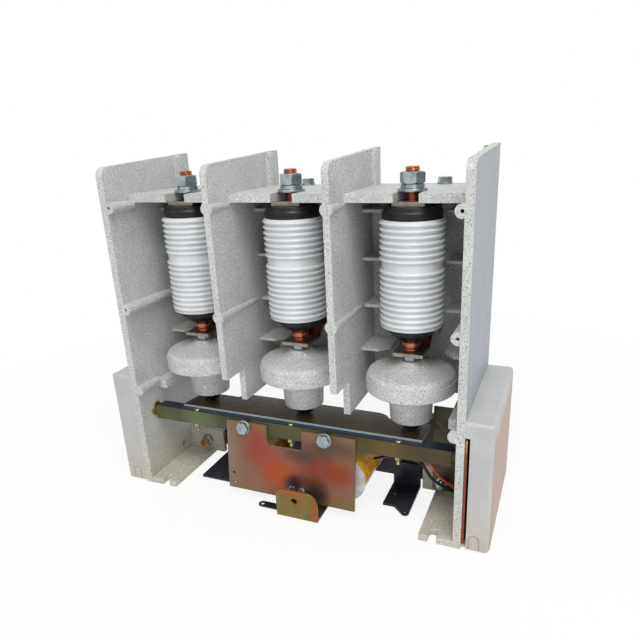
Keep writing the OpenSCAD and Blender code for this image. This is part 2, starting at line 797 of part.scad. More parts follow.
// The upper ribs, the plain band and the lower ribs are one revolved outline.
module ceramic() {
    translate([0, pole_y, ceramic_z]) rotate_extrude() {
        square([ceramic_r, ceramic_h]);
        for (i = [0 : ribs_below - 1]) rib_ring((i + 0.8) * ceramic_pitch);
        for (i = [0 : ribs_above - 1]) rib_ring(ribs_above_foot + (i + 0.2) * ceramic_pitch);
    }
}

module rib_ring(z) {
    translate([ceramic_rib_c, z]) circle(ceramic_rib_r);
}

module ceramic_left() color("white") translate([poles[0], 0, 0]) ceramic();
module ceramic_middle() color("white") translate([poles[1], 0, 0]) ceramic();
module ceramic_right() color("white") translate([poles[2], 0, 0]) ceramic();

module at_poles() {
    for (x = poles) translate([x, pole_y, 0]) children();
}

// Dark metal caps that close the ceramic at the top, with a narrower collar.
module upper_end_caps() color("dimgray") {
    at_poles() translate([0, 0, ceramic_top_z]) rotate_extrude() difference() {
        polygon([[0, 0], [cap_r + 1, 0], [cap_r + 1, cap_h - cap_collar_h - 1],
                 [cap_r, cap_h - cap_collar_h], [cap_r - 1, cap_h], [0, cap_h]]);
        translate([0, -eps]) square([stud_d / 2 + fit, cap_h + 2 * eps]);
    }
}

// Dark bowls that close the ceramic at the bottom and guide the moving stems.
module lower_end_caps() color("dimgray") {
    at_poles() translate([0, 0, guide_z]) rotate_extrude() difference() {
        polygon([[0, 0], [cap_foot_r, 0], [cap_r - 3, cap_low_h * 0.6], [cap_r, cap_low_h], [0, cap_low_h]]);
        translate([0, -eps]) square([stem_d / 2 + stem_clear, cap_low_h + 2 * eps]);
    }
}

module fixed_studs() color("peru") {
    at_poles() translate([0, 0, ceramic_top_z]) cylinder(d = stud_d, h = stud_top_z - ceramic_top_z);
}

module stud_nuts() color("silver") {
    at_poles() difference() {
        union() {
            translate([0, 0, shelf_top_z]) cylinder(d = stud_d * washer_ratio, h = flat_washer_t);
            translate([0, 0, stud_washer_z]) cylinder(d = stud_d * hex_af, h = spring_washer_t);
            translate([0, 0, stud_nut_z]) hex(stud_nut_af, stud_nut_h);
        }
        translate([0, 0, shelf_top_z - eps]) cylinder(d = stud_d + 2 * fit, h = stud_nut_z);
    }
}

module shelf_bolts() color("silver") {
    for (x = poles, side = sides) translate([x + side * shelf_bolt_x, shelf_bolt_y, shelf_z]) {
        cylinder(d = shelf_bolt_d, h = shelf_t + washer_t);
        translate([0, 0, shelf_t]) cylinder(d = shelf_bolt_d * washer_ratio, h = washer_t);
        translate([0, 0, shelf_t + washer_t]) hex(shelf_bolt_d * hex_af, shelf_bolt_d * head_ratio);
    }
}

// Terminals and links

module terminal_bar(w, y, z, t) {
    translate([0, 0, z]) linear_extrude(t) difference() {
        translate([-w / 2, y]) square([w, rear_end - y]);
        translate([0, rear_end - bar_hole_inset]) circle(d = bar_hole_d);
        children();
    }
}

module upper_terminals() color("tan") {
    for (x = poles) translate([x, 0, 0])
        terminal_bar(upper_bar_w, upper_bar_y, upper_bar_z, upper_bar_t)
            translate([0, pole_y]) circle(d = stud_d + 2 * fit);
}

module lower_terminals() color("tan") {
    for (x = poles) translate([x, 0, 0])
        terminal_bar(lower_bar_w, lower_bar_y, lower_bar_z, lower_bar_t);
}

// Copper leaves that lie under the stem as a lug, rise in an S behind it and lie down on the lower bar.
module flexible_link() {
    slab_x(-link_w / 2, link_w) {
        translate([link_front_y, lug_z]) square([s_front - link_front_y + eps, lug_t]);
        polygon(concat([for (i = [0 : s_steps]) s_point(i / s_steps, 0)],
                       [for (i = [s_steps : -1 : 0]) s_point(i / s_steps, 1)]));
        translate([lower_bar_y - eps, link_top_z]) square([link_pad_end_y - lower_bar_y + eps, link_t]);
    }
}

// A point of the S at the share t of its run, on the leaves' lower (0) or upper (1) side.
function s_point(t, side) = [
    s_front + (lower_bar_y - s_front) * t - side * link_t * sin(180 * t) / 2,
    lug_z + (link_top_z - lug_z) * (1 - cos(180 * t)) / 2 + side * (lug_t + (link_t - lug_t) * t)
];

module drilled_link() {
    difference() {
        flexible_link();
        translate([0, pole_y, lug_z - eps])
            cylinder(d = drive_bolt_d + 2 * fit, h = lug_t + 2 * eps);
    }
}

module flexible_link_left() color("sienna") translate([poles[0], 0, 0]) drilled_link();
module flexible_link_middle() color("sienna") translate([poles[1], 0, 0]) drilled_link();
module flexible_link_right() color("sienna") translate([poles[2], 0, 0]) drilled_link();

// The copper stem stands on the lug, with a thicker nut under the guide.
module moving_stem() {
    translate([0, pole_y, 0]) {
        translate([0, 0, stem_z]) cylinder(d = stem_d, h = stem_top_z - stem_z);
        translate([0, 0, collar_z]) cylinder(d = stem_d + 2 * collar_t, h = collar_h);
    }
}

module moving_stem_left() color("peru") translate([poles[0], 0, 0]) moving_stem();
module moving_stem_middle() color("peru") translate([poles[1], 0, 0]) moving_stem();
module moving_stem_right() color("peru") translate([poles[2], 0, 0]) moving_stem();

// A moulded mushroom: tapered neck, disc with a plain rim, shallow dome and a boss on top.
module drive_insulator() {
    dome_edge = disc_r - rim_step - rim_round;
    dome_foot = rim_top + rim_round - 1;
    dome_r = (dome_edge * dome_edge + dome_rise * dome_rise) / (2 * dome_rise);
    translate([0, pole_y, ins_z]) rotate_extrude() difference() {
        union() {
            polygon([[0, 0], [neck_r, 0], [neck_top_r, neck_h + 1], [0, neck_h + 1]]);
            translate([0, neck_h]) square([disc_r, rim_h]);
            translate([dome_edge, rim_top]) circle(rim_round);
            translate([0, rim_top - eps]) square([dome_edge, rim_round - 1]);
            intersection() {
                translate([0, dome_foot + dome_rise - dome_r]) circle(dome_r, $fn = 128);
                translate([0, dome_foot - 1]) square([dome_edge, dome_rise + 1]);
            }
            polygon([[0, dome_foot], [ins_boss_foot_r, dome_foot], [ins_boss_foot_r, dome_foot + dome_rise - 2],
                     [ins_boss_r, ins_h], [0, ins_h]]);
        }
        translate([-disc_r, 0]) square([disc_r, ins_h]);
        translate([0, -eps]) square([drive_bolt_d / 2 + fit, ins_h + 2 * eps]);
    }
}

module drive_insulator_left() color("lightgray") translate([poles[0], 0, 0]) drive_insulator();
module drive_insulator_middle() color("lightgray") translate([poles[1], 0, 0]) drive_insulator();
module drive_insulator_right() color("lightgray") translate([poles[2], 0, 0]) drive_insulator();

// A threaded rod through the insulator, with a nut on top and two nuts that take the lift plate between them.
module drive_bolt() {
    lower_nut_z = lift_rest_z - tilt_room - drive_nut_h;
    bolt_z = lower_nut_z - drive_bolt_tail;
    translate([0, pole_y, 0]) {
        translate([0, 0, bolt_z]) cylinder(d = drive_bolt_d, h = stem_z - fit - bolt_z);
        translate([0, 0, ins_top_z]) hex(drive_nut_af, drive_nut_h);
        translate([0, 0, lift_rest_z + tilt_room]) hex(drive_nut_af, ins_nut_h);
        translate([0, 0, lower_nut_z]) hex(drive_nut_af, drive_nut_h);
    }
}

module drive_bolt_left() color("silver") translate([poles[0], 0, 0]) drive_bolt();
module drive_bolt_middle() color("silver") translate([poles[1], 0, 0]) drive_bolt();
module drive_bolt_right() color("silver") translate([poles[2], 0, 0]) drive_bolt();

// Magnet and base

module magnet_yoke() color("darkslategray") {
    ear_half = yoke_bolt_x + yoke_bolt_d;
    ear_z = foot_t + yoke_lift;
    slab_y(yoke_y, yoke_t) difference() {
        union() {
            translate([-yoke_half, ear_z]) square([2 * yoke_half, yoke_top_z - ear_z]);
            translate([-ear_half, ear_z]) square([2 * ear_half, pad_top_z - ear_z]);
        }
        for (side = sides) {
            translate([side * yoke_bolt_x, yoke_bolt_z]) circle(d = yoke_bolt_d + 2 * fit);
            translate([side * yoke_half, yoke_top_z]) circle(yoke_corner_r);
        }
    }
}

module at_coils(y) {
    for (side = sides) translate([side * coil_x, y, coil_z]) children();
}

module ring_y(outer_r, inner_r, h) {
    difference() {
        along_y(2 * outer_r, h);
        translate([0, -eps, 0]) along_y(2 * inner_r, h + 2 * eps);
    }
}

module coils() color("gold") {
    at_coils(coil_front_y + flange_t)
        ring_y(coil_r, core_r + core_clear, coil_len - 2 * flange_t);
}

module coil_flanges() color("whitesmoke") {
    for (y = [coil_front_y, yoke_y - flange_t]) at_coils(y) ring_y(flange_r, core_r + core_clear, flange_t);
}

module pole_cores() color("slategray") {
    at_coils(core_face_y) along_y(2 * core_r, yoke_y - core_face_y);
}

// Two insulated leads swept along their routes.
module coil_leads() color("firebrick") {
    for (distances = lead_routes) {
        route = [for (p = distances) [lead_x(p[0]), p[1], p[2]]];
        last = len(route) - 1;
        polyhedron(
            points = [for (i = [0 : last], k = [0 : lead_sides - 1])
                      lead_point(route, i, 360 * k / lead_sides)],
            faces = concat(
                [[for (k = [0 : lead_sides - 1]) k]],
                [[for (k = [lead_sides - 1 : -1 : 0]) last * lead_sides + k]],
                [for (i = [0 : last - 1], k = [0 : lead_sides - 1], half = [0, 1]) lead_face(i, k, half)]));
    }
}

function unit(v) = v / norm(v);

// The place of a point at the distance d from the coil's axis.
function lead_x(d) = coil_x + min(d, lead_start)
    + max(d - lead_start, 0) * (outer_x - coil_x - lead_start) / (lead_span - lead_start);

// A point on the ring round a route's point i.
function lead_point(route, i, angle) =
    let (ahead = unit(route[min(i + 1, len(route) - 1)] - route[max(i - 1, 0)]),
         across = unit(cross(ahead, [0, 1, 0])),
         up = cross(across, ahead))
    route[i] + lead_d / 2 * (cos(angle) * across + sin(angle) * up);

// Two triangles close each field between the rings i and i + 1.
function lead_face(i, k, half) =
    let (a = i * lead_sides + k, b = i * lead_sides + (k + 1) % lead_sides)
    half == 0 ? [a, a + lead_sides, b] : [b, a + lead_sides, b + lead_sides];

// Bent sheet on the floor beside the coils, turned up against the yoke; the right one has a tongue.
module base_plates() color("darkslategray") {
    base_plate(-base_plate_x, left_plate_w, shaft_y + left_plate_front) {
        for (share = [0.4, 0.6]) translate([left_plate_w * share, plate_hole_inset]) circle(d = plate_hole_d);
    }
    base_plate(base_plate_x - right_plate_w, right_plate_w, shaft_y + right_plate_front) {
        translate([right_plate_w / 4, 3 * plate_hole_inset]) circle(d = plate_hole_d);
    }
    tongue_y = shaft_y + right_plate_front - tongue_l;
    translate([base_plate_x, tongue_y, sheet_z]) linear_extrude(sheet_t) difference() {
        hull() {
            translate([-tongue_end_w / 2, tongue_end_w / 2]) circle(d = tongue_end_w);
            translate([-tongue_w, tongue_l]) square([tongue_w, 1]);
        }
        translate([-tongue_end_w / 2, tongue_end_w / 2]) circle(d = tongue_end_w / 2);
    }
}

// A sheet from the left edge x and the front y back to the yoke; its children are cut out of its floor.
module base_plate(x, w, front_y) {
    translate([x, front_y, sheet_z]) linear_extrude(sheet_t) difference() {
        square([w, yoke_y - front_y]);
        children();
    }
    translate([x, yoke_y - sheet_t, sheet_z]) cube([w, sheet_t, upturn_z - sheet_z]);
}

module yoke_bolts() color("silver") {
    nut_h = yoke_bolt_d * nut_ratio;
    for (side = sides) translate([side * yoke_bolt_x, 0, yoke_bolt_z]) {
        nut_y = yoke_y - pad_t - nut_h - (side > 0 ? bracket_t : 0);
        bolt_front = nut_y - yoke_bolt_end;
        translate([0, bolt_front, 0]) along_y(yoke_bolt_d, yoke_y + yoke_t - bolt_front + 1);
        translate([0, nut_y, 0]) rotate([-90, 0, 0]) hex(yoke_bolt_d * hex_af, nut_h);
        translate([0, yoke_y + yoke_t, 0]) rotate([-90, 0, 0]) hex(yoke_bolt_d * hex_af, nut_h);
    }
}

// An upright sheet on the right foot rail, held by the yoke bolt, that carries the auxiliary switch.
module switch_bracket() color("tan") {
    slab_y(bracket_y, bracket_t) difference() {
        translate([bracket_x, foot_t]) square([bracket_w, ledge_z - bracket_drop - foot_t]);
        translate([yoke_bolt_x, yoke_bolt_z]) circle(d = yoke_bolt_d + 2 * fit);
    }
}

// A black moulded block behind the bracket's inner edge.
module auxiliary_switch() color("dimgray") {
    translate([bracket_x + switch_lap - switch_w, bracket_y + bracket_t, pad_top_z + switch_gap])
        cube([switch_w, switch_d, switch_h]);
}

// A tab in front of the armature on a long foot that is turned up against the yoke.
module stop_bracket() color("goldenrod") {
    foot_end_w = coil_x - flange_r + tab_left - sheet_t;
    slab_y(tab_y, sheet_t) difference() {
        translate([-tab_left, sheet_z]) square([tab_w, tab_top_z - sheet_z]);
        translate([-tab_left, tab_top_z]) polygon([[-eps, eps], [tab_chamfer, eps], [-eps, -tab_chamfer]]);
        translate([tab_w - tab_left, tab_top_z]) rotate(180) corner_waste(tab_round);
        translate([tab_hole_x - tab_left, tab_top_z - tab_hole_drop]) circle(d = tab_hole_d);
    }
    translate([-tab_left, tab_y, sheet_z]) cube([tab_w, coil_front_y - tab_y - sheet_t, sheet_t]);
    translate([-tab_left, 0, sheet_z]) cube([foot_end_w, yoke_y, sheet_t]);
    translate([-tab_left, yoke_y - sheet_t, sheet_z]) cube([foot_end_w, sheet_t, upturn_z - sheet_z]);
}

// A flat strip with an eye that lies on the bracket's foot behind the tab.
module latch_strip() color("dimgray") {
    strip_y = tab_y + sheet_t + strip_w / 2 + fit;
    strip_end = -tab_left - strip_reach + strip_w / 2;
    translate([0, 0, sheet_top]) linear_extrude(strip_t) difference() {
        union() {
            translate([strip_end, strip_y]) circle(d = strip_w);
            translate([strip_end, strip_y - strip_w / 2]) square([strip_reach + tab_w / 2, strip_w]);
        }
        translate([strip_end, strip_y]) circle(d = strip_w / 2);
    }
}

// Shaft, lift plate and armature

module shaft_bushes() color("gold") {
    length = side_wall_t + bush_proud;
    for (side = sides) mirror([side < 0 ? 1 : 0, 0, 0])
        translate([inner_x - bush_proud, shaft_y, shaft_z]) rotate([0, 90, 0]) difference() {
            cylinder(d = journal_d + 2 * (journal_clear + bush_t), h = length);
            translate([0, 0, -eps]) cylinder(d = journal_d + 2 * journal_clear, h = length + 2 * eps);
        }
}

module shaft_holes() {
    for (x = screw_x) translate([x, -screw_front, -shaft_bar_h])
        cylinder(d = screw_d + 2 * fit, h = 2 * shaft_bar_h);
    at_arm_bolts() translate([0, -shaft_bar_d, 0]) along_y(arm_bolt_d + 2 * fit, 2 * shaft_bar_d);
}

module at_arm_bolts() {
    for (side = sides) translate([side * arm_bolt_pitch / 2 - arm_shift, 0, 0]) children();
}

module main_shaft() color("darkkhaki") opened() {
    difference() {
        translate([-shaft_bar_half, -shaft_bar_d / 2, -shaft_bar_h / 2])
            cube([2 * shaft_bar_half, shaft_bar_d, shaft_bar_h]);
        shaft_holes();
    }
    for (side = sides) translate([side * (shaft_bar_half - 1), 0, 0]) rotate([0, side * 90, 0])
        cylinder(d = journal_d, h = journal_gap + side_wall_t);
}

module lift_plate() color("rosybrown") opened() translate([0, 0, lift_z]) linear_extrude(lift_t) difference() {
    union() {
        translate([-lift_half, lift_front]) square([2 * lift_half, lift_end_reach - lift_front]);
        translate([-lift_mid_half, lift_front])
            square([2 * lift_mid_half, lift_mid_reach - lift_round - lift_front]);
        translate([-lift_mid_half + lift_round, lift_front])
            square([2 * (lift_mid_half - lift_round), lift_mid_reach - lift_front]);
        for (side = sides)
            translate([side * (lift_mid_half - lift_round), lift_mid_reach - lift_round]) circle(lift_round);
    }
    for (x = poles) translate([x, hole_reach]) circle(d = drive_bolt_d + 2 * drive_bolt_clear);
}

module armature_plate() color("darkkhaki") opened() slab_y(arm_face, arm_t) difference() {
    translate([-arm_w / 2, -arm_down]) square([arm_w, arm_down + arm_up]);
    translate([-arm_shift, arm_up]) arm_notch();
    at_arm_bolts() circle(d = arm_bolt_d + 2 * fit);
    for (z = arm_hole_rise) translate([arm_hole_inset - arm_w / 2, z - arm_down]) circle(d = arm_hole_d);
    for (x = arm_screw_x) translate([x, arm_screw_rise - arm_down]) circle(d = screw_d + 2 * fit);
}

module arm_notch() {
    half = arm_notch_w / 2;
    translate([-half, -arm_notch_h + arm_notch_r]) square([arm_notch_w, arm_notch_h]);
    translate([-half + arm_notch_r, -arm_notch_h]) square([arm_notch_w - 2 * arm_notch_r, arm_notch_h]);
    for (side = sides)
        translate([side * (half - arm_notch_r), -arm_notch_h + arm_notch_r]) circle(arm_notch_r);
}

// Hex bolts that clamp the armature plate to the shaft, and two small bolts low on the plate.
module armature_bolts() color("silver") opened() {
    head_h = arm_bolt_d * head_ratio;
    head_y = arm_face - washer_t - head_h;
    screw_head_h = screw_d * head_ratio;
    at_arm_bolts() {
        translate([0, head_y, 0]) rotate([-90, 0, 0]) hex(arm_bolt_d * hex_af, head_h);
        translate([0, arm_face - washer_t, 0]) along_y(arm_bolt_d * washer_ratio, washer_t);
        translate([0, head_y, 0]) along_y(arm_bolt_d, head_h + washer_t + arm_t + shaft_bar_d);
    }
    for (x = arm_screw_x) translate([x, arm_face - screw_head_h, arm_screw_rise - arm_down]) {
        rotate([-90, 0, 0]) hex(screw_d * hex_af, screw_head_h);
        along_y(screw_d, screw_head_h + arm_t);
    }
}

// Screws through the bar in front of each pole, with nuts under the bar.
module shaft_screws() color("silver") opened() {
    nut_h = screw_d * nut_ratio;
    tail_z = -shaft_bar_h / 2 - screw_tail;
    for (x = screw_x) translate([x, -screw_front, 0]) {
        translate([0, 0, tail_z]) cylinder(d = screw_d, h = shaft_bar_h + screw_tail);
        translate([0, 0, lift_z]) cylinder(d1 = screw_d * 1.5, d2 = screw_d, h = screw_d / 3);
        translate([0, 0, -shaft_bar_h / 2 - nut_h]) hex(screw_d * hex_af, nut_h);
    }
}

placed() left_side_wall();
placed() right_side_wall();
placed() left_phase_barrier();
placed() right_phase_barrier();
placed() back_wall();
placed() back_wall_ribs();
placed() top_shelves();
placed() left_foot_rail();
placed() right_foot_rail();
placed() left_side_cover();
placed() right_side_cover();
placed() terminal_boards();
placed() board_strips();
placed() shaft_bushes();
placed() ceramic_left();
placed() ceramic_middle();
placed() ceramic_right();
placed() upper_end_caps();
placed() lower_end_caps();
placed() fixed_studs();
placed() stud_nuts();
placed() shelf_bolts();
placed() upper_terminals();
placed() lower_terminals();
placed() flexible_link_left();
placed() flexible_link_middle();
placed() flexible_link_right();
placed() moving_stem_left();
placed() moving_stem_middle();
placed() moving_stem_right();
placed() drive_insulator_left();
placed() drive_insulator_middle();
placed() drive_insulator_right();
placed() drive_bolt_left();
placed() drive_bolt_middle();
placed() drive_bolt_right();
placed() magnet_yoke();
placed() coils();
placed() coil_flanges();
placed() pole_cores();
placed() coil_leads();
placed() base_plates();
placed() yoke_bolts();
placed() switch_bracket();
placed() auxiliary_switch();
placed() stop_bracket();
placed() latch_strip();
placed() main_shaft();
placed() lift_plate();
placed() armature_plate();
placed() armature_bolts();
placed() shaft_screws();
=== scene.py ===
# Three-pole vacuum contactor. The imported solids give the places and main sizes, in metres, and each
# section below dresses one group of pieces, in the order in which the contactor is put together.
import math

import bmesh
import bpy
from mathutils import Matrix, Vector


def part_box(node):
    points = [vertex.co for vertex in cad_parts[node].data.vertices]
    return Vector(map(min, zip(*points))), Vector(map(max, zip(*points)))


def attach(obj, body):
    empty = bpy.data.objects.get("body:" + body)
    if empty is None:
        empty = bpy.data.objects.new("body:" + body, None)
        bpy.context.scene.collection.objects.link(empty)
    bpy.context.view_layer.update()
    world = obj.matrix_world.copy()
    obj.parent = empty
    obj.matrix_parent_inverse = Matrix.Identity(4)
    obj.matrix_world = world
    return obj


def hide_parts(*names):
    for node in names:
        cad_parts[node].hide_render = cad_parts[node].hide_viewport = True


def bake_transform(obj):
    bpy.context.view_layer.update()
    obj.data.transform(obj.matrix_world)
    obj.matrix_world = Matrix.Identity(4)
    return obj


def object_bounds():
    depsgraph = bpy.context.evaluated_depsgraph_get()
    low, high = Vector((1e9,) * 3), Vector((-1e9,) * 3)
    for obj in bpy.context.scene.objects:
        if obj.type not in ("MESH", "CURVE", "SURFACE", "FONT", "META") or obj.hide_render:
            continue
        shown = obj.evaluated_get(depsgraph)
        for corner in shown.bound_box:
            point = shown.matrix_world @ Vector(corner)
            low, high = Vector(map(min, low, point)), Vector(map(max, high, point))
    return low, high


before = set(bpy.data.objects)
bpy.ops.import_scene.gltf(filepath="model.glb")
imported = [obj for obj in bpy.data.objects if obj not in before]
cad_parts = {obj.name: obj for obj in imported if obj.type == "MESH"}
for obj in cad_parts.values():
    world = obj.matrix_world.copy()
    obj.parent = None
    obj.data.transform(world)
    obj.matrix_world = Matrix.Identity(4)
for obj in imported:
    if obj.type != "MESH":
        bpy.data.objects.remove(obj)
cad_low, cad_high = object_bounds()
scene = bpy.context.scene

# The view: a camera a little above the shelf and to the right of the middle, held by hand, so it leans
# slightly. The picture's size and the focal length are in pixels of a square picture.
picture_size, focal_length = 640, 577.06
eye = Vector((0.26355, -0.56519, 0.39204))
turn, tilt, roll = (math.radians(angle) for angle in (22.7509, 70.2312, -2.4315))
camera = bpy.data.objects.new("camera", bpy.data.cameras.new("camera"))
camera.data.sensor_width = 36
camera.data.lens = focal_length / picture_size * camera.data.sensor_width
camera.data.shift_x, camera.data.shift_y = -0.0176, 0.0378
camera.data.clip_start, camera.data.clip_end = 0.01, 20
camera.matrix_world = (Matrix.Translation(eye) @ Matrix.Rotation(turn, 4, "Z")
                       @ Matrix.Rotation(tilt, 4, "X") @ Matrix.Rotation(roll, 4, "Z"))
scene.collection.objects.link(camera)
scene.camera = camera


# The frame: walls, barriers, back, ribs, shelves and foot rails of one polyester moulding. It is pale grey
# with dark and light specks of filler and fibre, satin, and its free edges are rounded by the tool.
wall_edge, shelf_edge, rail_edge = 0.0012, 0.0007, 0.0008
crease_angle, flat_angle, merge_gap = math.radians(38), math.radians(0.5), 2e-6
low_tint_top, outer_wall_x, wall_blend = 0.08, 0.19, 0.0005


def srgb(red, green, blue):
    """A colour given from 0 to 255, as Blender's linear values."""
    parts = [c / 255 for c in (red, green, blue)]
    return tuple(p / 12.92 if p < 0.04 else ((p + 0.055) / 1.055) ** 2.4 for p in parts) + (1.0,)


def put(tree, kind, inputs=None, **settings):
    """Adds a node; each input takes a value, or the socket that feeds it."""
    node = tree.nodes.new(kind)
    for name, value in settings.items():
        setattr(node, name, value)
    for name, value in (inputs or {}).items():
        if isinstance(value, bpy.types.NodeSocket):
            tree.links.new(value, node.inputs[name])
        else:
            node.inputs[name].default_value = value
    return node


def fed(kind, inputs, **settings):
    """Adds a node to the tree of the sockets that feed it."""
    tree = next(value.id_data for value in inputs.values() if isinstance(value, bpy.types.NodeSocket))
    return put(tree, kind, inputs, **settings)


def calc(operation, *values):
    return fed("ShaderNodeMath", dict(enumerate(values)), operation=operation).outputs[0]


def blend(share, first, second, way="MIX"):
    inputs = {0: share, 6: first, 7: second}
    return fed("ShaderNodeMix", inputs, data_type="RGBA", blend_type=way).outputs[2]


def dimmed(colour, share):
    """A colour times a grey share."""
    grey = fed("ShaderNodeCombineColor", {0: share, 1: share, 2: share}).outputs[0]
    return blend(1.0, colour, grey, "MULTIPLY")


def between(value, low, high, to_low=0.0, to_high=1.0):
    inputs = {"Value": value, "From Min": low, "From Max": high, "To Min": to_low, "To Max": to_high}
    return fed("ShaderNodeMapRange", inputs, interpolation_type="SMOOTHSTEP").outputs["Result"]


def noise(place, scale, detail, roughness=0.55, distortion=0.0):
    inputs = {"Vector": place, "Scale": scale, "Detail": detail, "Roughness": roughness,
              "Distortion": distortion}
    return fed("ShaderNodeTexNoise", inputs).outputs["Fac"]


def node_group(name, kind, inputs, outputs):
    """An empty node group with sockets of given names and kinds, and its two end nodes."""
    tree = bpy.data.node_groups.new(name, kind)
    for way, sockets in (("INPUT", inputs), ("OUTPUT", outputs)):
        for label, socket in sockets.items():
            tree.interface.new_socket(label, in_out=way, socket_type="NodeSocket" + socket)
    return tree, tree.nodes.new("NodeGroupInput").outputs, tree.nodes.new("NodeGroupOutput").inputs


def end_group(tree, result, **sockets):
    """Links what a group gives out."""
    for label, socket in sockets.items():
        tree.links.new(socket, result[label])
    return tree


def place_group(tree, group, **values):
    return put(tree, "ShaderNodeGroup", values, node_tree=group).outputs


def object_place(tree):
    return put(tree, "ShaderNodeTexCoord").outputs["Object"]


def object_axis(tree, axis):
    return fed("ShaderNodeSeparateXYZ", {0: object_place(tree)}).outputs[axis]


def facing(tree, axis):
    """How far the surface faces along an axis of the object, from -1 to 1."""
    normal = put(tree, "ShaderNodeTexCoord").outputs["Normal"]
    return fed("ShaderNodeVectorMath", {0: normal, 1: axis}, operation="DOT_PRODUCT").outputs["Value"]


def new_material(name, roughness=0.5, metallic=0.0, **sockets):
    """A material whose Principled shader has these values, and its node tree."""
    material = bpy.data.materials.new(name)
    material.use_nodes = True
    shader = material.node_tree.nodes["Principled BSDF"].inputs
    shader["Roughness"].default_value, shader["Metallic"].default_value = roughness, metallic
    for label, value in sockets.items():
        shader[label.replace("_", " ")].default_value = value
    return material, material.node_tree


def painted(material, colour, roughness=None, height=None, depth=0.0001, strength=0.3):
    """Links a material's colour, and its roughness and bump where it has them."""
    tree = material.node_tree
    shader = tree.nodes["Principled BSDF"].inputs
    tree.links.new(colour, shader["Base Color"])
    if roughness is not None:
        tree.links.new(roughness, shader["Roughness"])
    if height is not None:
        bump = fed("ShaderNodeBump", {"Height": height, "Distance": depth, "Strength": strength})
        tree.links.new(bump.outputs["Normal"], shader["Normal"])
    return material


def filler_specks():
    """Group: dark and pale specks over a slowly changing ground, as in filled mouldings."""
    tree, given, result = node_group(
        "filler_specks", "ShaderNodeTree",
        dict(Ground="Color", Dark="Color", Pale="Color", Grain="Float", Amount="Float"),
        dict(Color="Color", Height="Float"))
    place = object_place(tree)
    fine = noise(place, given["Grain"], 2.5, 0.65)
    shifted = fed("ShaderNodeVectorMath", {0: place, 1: (3.1, 7.7, 1.3)}).outputs[0]
    coarse = noise(shifted, calc("MULTIPLY", given["Grain"], 0.6), 2.0, 0.6)
    slow = between(noise(place, 28.0, 3.0), 0.3, 0.7, 0.93, 1.05)
    dark = calc("MULTIPLY", between(fine, 0.54, 0.68), given["Amount"])
    pale = calc("MULTIPLY", between(coarse, 0.56, 0.70), given["Amount"])
    colour = blend(dark, given["Ground"], given["Dark"])
    colour = blend(pale, colour, given["Pale"])
    return end_group(tree, result, Color=dimmed(colour, slow), Height=fine)


specks = filler_specks()


def tinted_low(tree, colour):
    """Tints a colour darker and warmer towards the floor."""
    dust_and_low_tint = between(object_axis(tree, "Z"), low_tint_top, 0.0)
    return blend(dust_and_low_tint, colour, srgb(255, 246, 233), "MULTIPLY")


def moulding_material():
    """Speckled all over, but smoother on the right wall's outer side, where a darker bluish grey is painted
    shade and reflection.
    """
    material, tree = new_material("speckled_moulding", 0.52)
    moulded = place_group(tree, specks, Ground=srgb(194, 196, 194), Dark=srgb(56, 58, 58),
                          Pale=srgb(228, 230, 228), Grain=930.0, Amount=1.0)
    outer = between(facing(tree, (1, 0, 0)), 0.85, 0.98)
    beyond = between(object_axis(tree, "X"), outer_wall_x - wall_blend, outer_wall_x + wall_blend)
    # Painted shade and bluish reflection: the right wall's outer face is blended towards a darker bluish
    # grey.
    painted_shade_side = calc("MULTIPLY", calc("MULTIPLY", outer, beyond), 0.7)
    colour = blend(painted_shade_side, moulded["Color"], srgb(152, 158, 168))
    rough = between(moulded["Height"], 0.3, 0.7, 0.46, 0.6)
    return painted(material, tinted_low(tree, colour), rough, moulded["Height"], 0.00025, 0.5)


def made_plain(piece):
    """Swaps a piece's mesh for its evaluated shape and drops its modifiers."""
    depsgraph = bpy.context.evaluated_depsgraph_get()
    mesh = bpy.data.meshes.new_from_object(piece.evaluated_get(depsgraph))
    piece.modifiers.clear()
    piece.data = mesh
    return piece


def linked(name, mesh):
    piece = bpy.data.objects.new(name, mesh)
    scene.collection.objects.link(piece)
    return piece


def smoothed(mesh, angle):
    """Shades a mesh smooth, apart from edges that are sharper than the angle."""
    for face in mesh.polygons:
        face.use_smooth = True
    mesh.set_sharp_from_angle(angle=angle)
    return mesh


def with_flat_faces(piece):
    """Weighs a piece's normals by area, so that its large faces look flat up to their rounded edges."""
    piece.modifiers.new("flat_faces", "WEIGHTED_NORMAL").keep_sharp = True
    return made_plain(piece)


def softened(node, edge):
    """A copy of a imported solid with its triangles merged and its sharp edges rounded."""
    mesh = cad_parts[node].data.copy()
    mesh.materials.clear()
    shape = bmesh.new()
    shape.from_mesh(mesh)
    bmesh.ops.remove_doubles(shape, verts=shape.verts, dist=merge_gap)
    bmesh.ops.dissolve_limit(shape, angle_limit=flat_angle, verts=shape.verts, edges=shape.edges)
    shape.to_mesh(mesh)
    shape.free()
    for layer in list(mesh.uv_layers):
        mesh.uv_layers.remove(layer)
    piece = linked(node + "_dressed", smoothed(mesh, crease_angle))
    bevel = piece.modifiers.new("edges", "BEVEL")
    bevel.width, bevel.segments = edge, 2
    bevel.limit_method, bevel.angle_limit = "ANGLE", crease_angle
    return with_flat_faces(piece)


def coat(mesh, material):
    """Gives a mesh one material."""
    mesh.materials.clear()
    mesh.materials.append(material)


def dress(piece, material, body, slot, *replaced):
    """Gives a piece its material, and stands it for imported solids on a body."""
    coat(piece.data, material)
    if replaced:
        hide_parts(*replaced)
    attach(piece, body)
    return piece


def dress_solid(node, edge, material, body, slot):
    """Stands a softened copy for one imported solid."""
    return dress(softened(node, edge), material, body, slot, node)


moulding = moulding_material()
for node, edge in (("left_side_wall", wall_edge), ("right_side_wall", wall_edge),
                   ("left_phase_barrier", wall_edge), ("right_phase_barrier", wall_edge),
                   ("top_shelves", shelf_edge),
                   ("left_foot_rail", rail_edge), ("right_foot_rail", rail_edge)):
    dress_solid(node, edge, moulding, "frame", "moulding")
for node in ("back_wall", "back_wall_ribs"):
    coat(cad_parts[node].data, moulding)


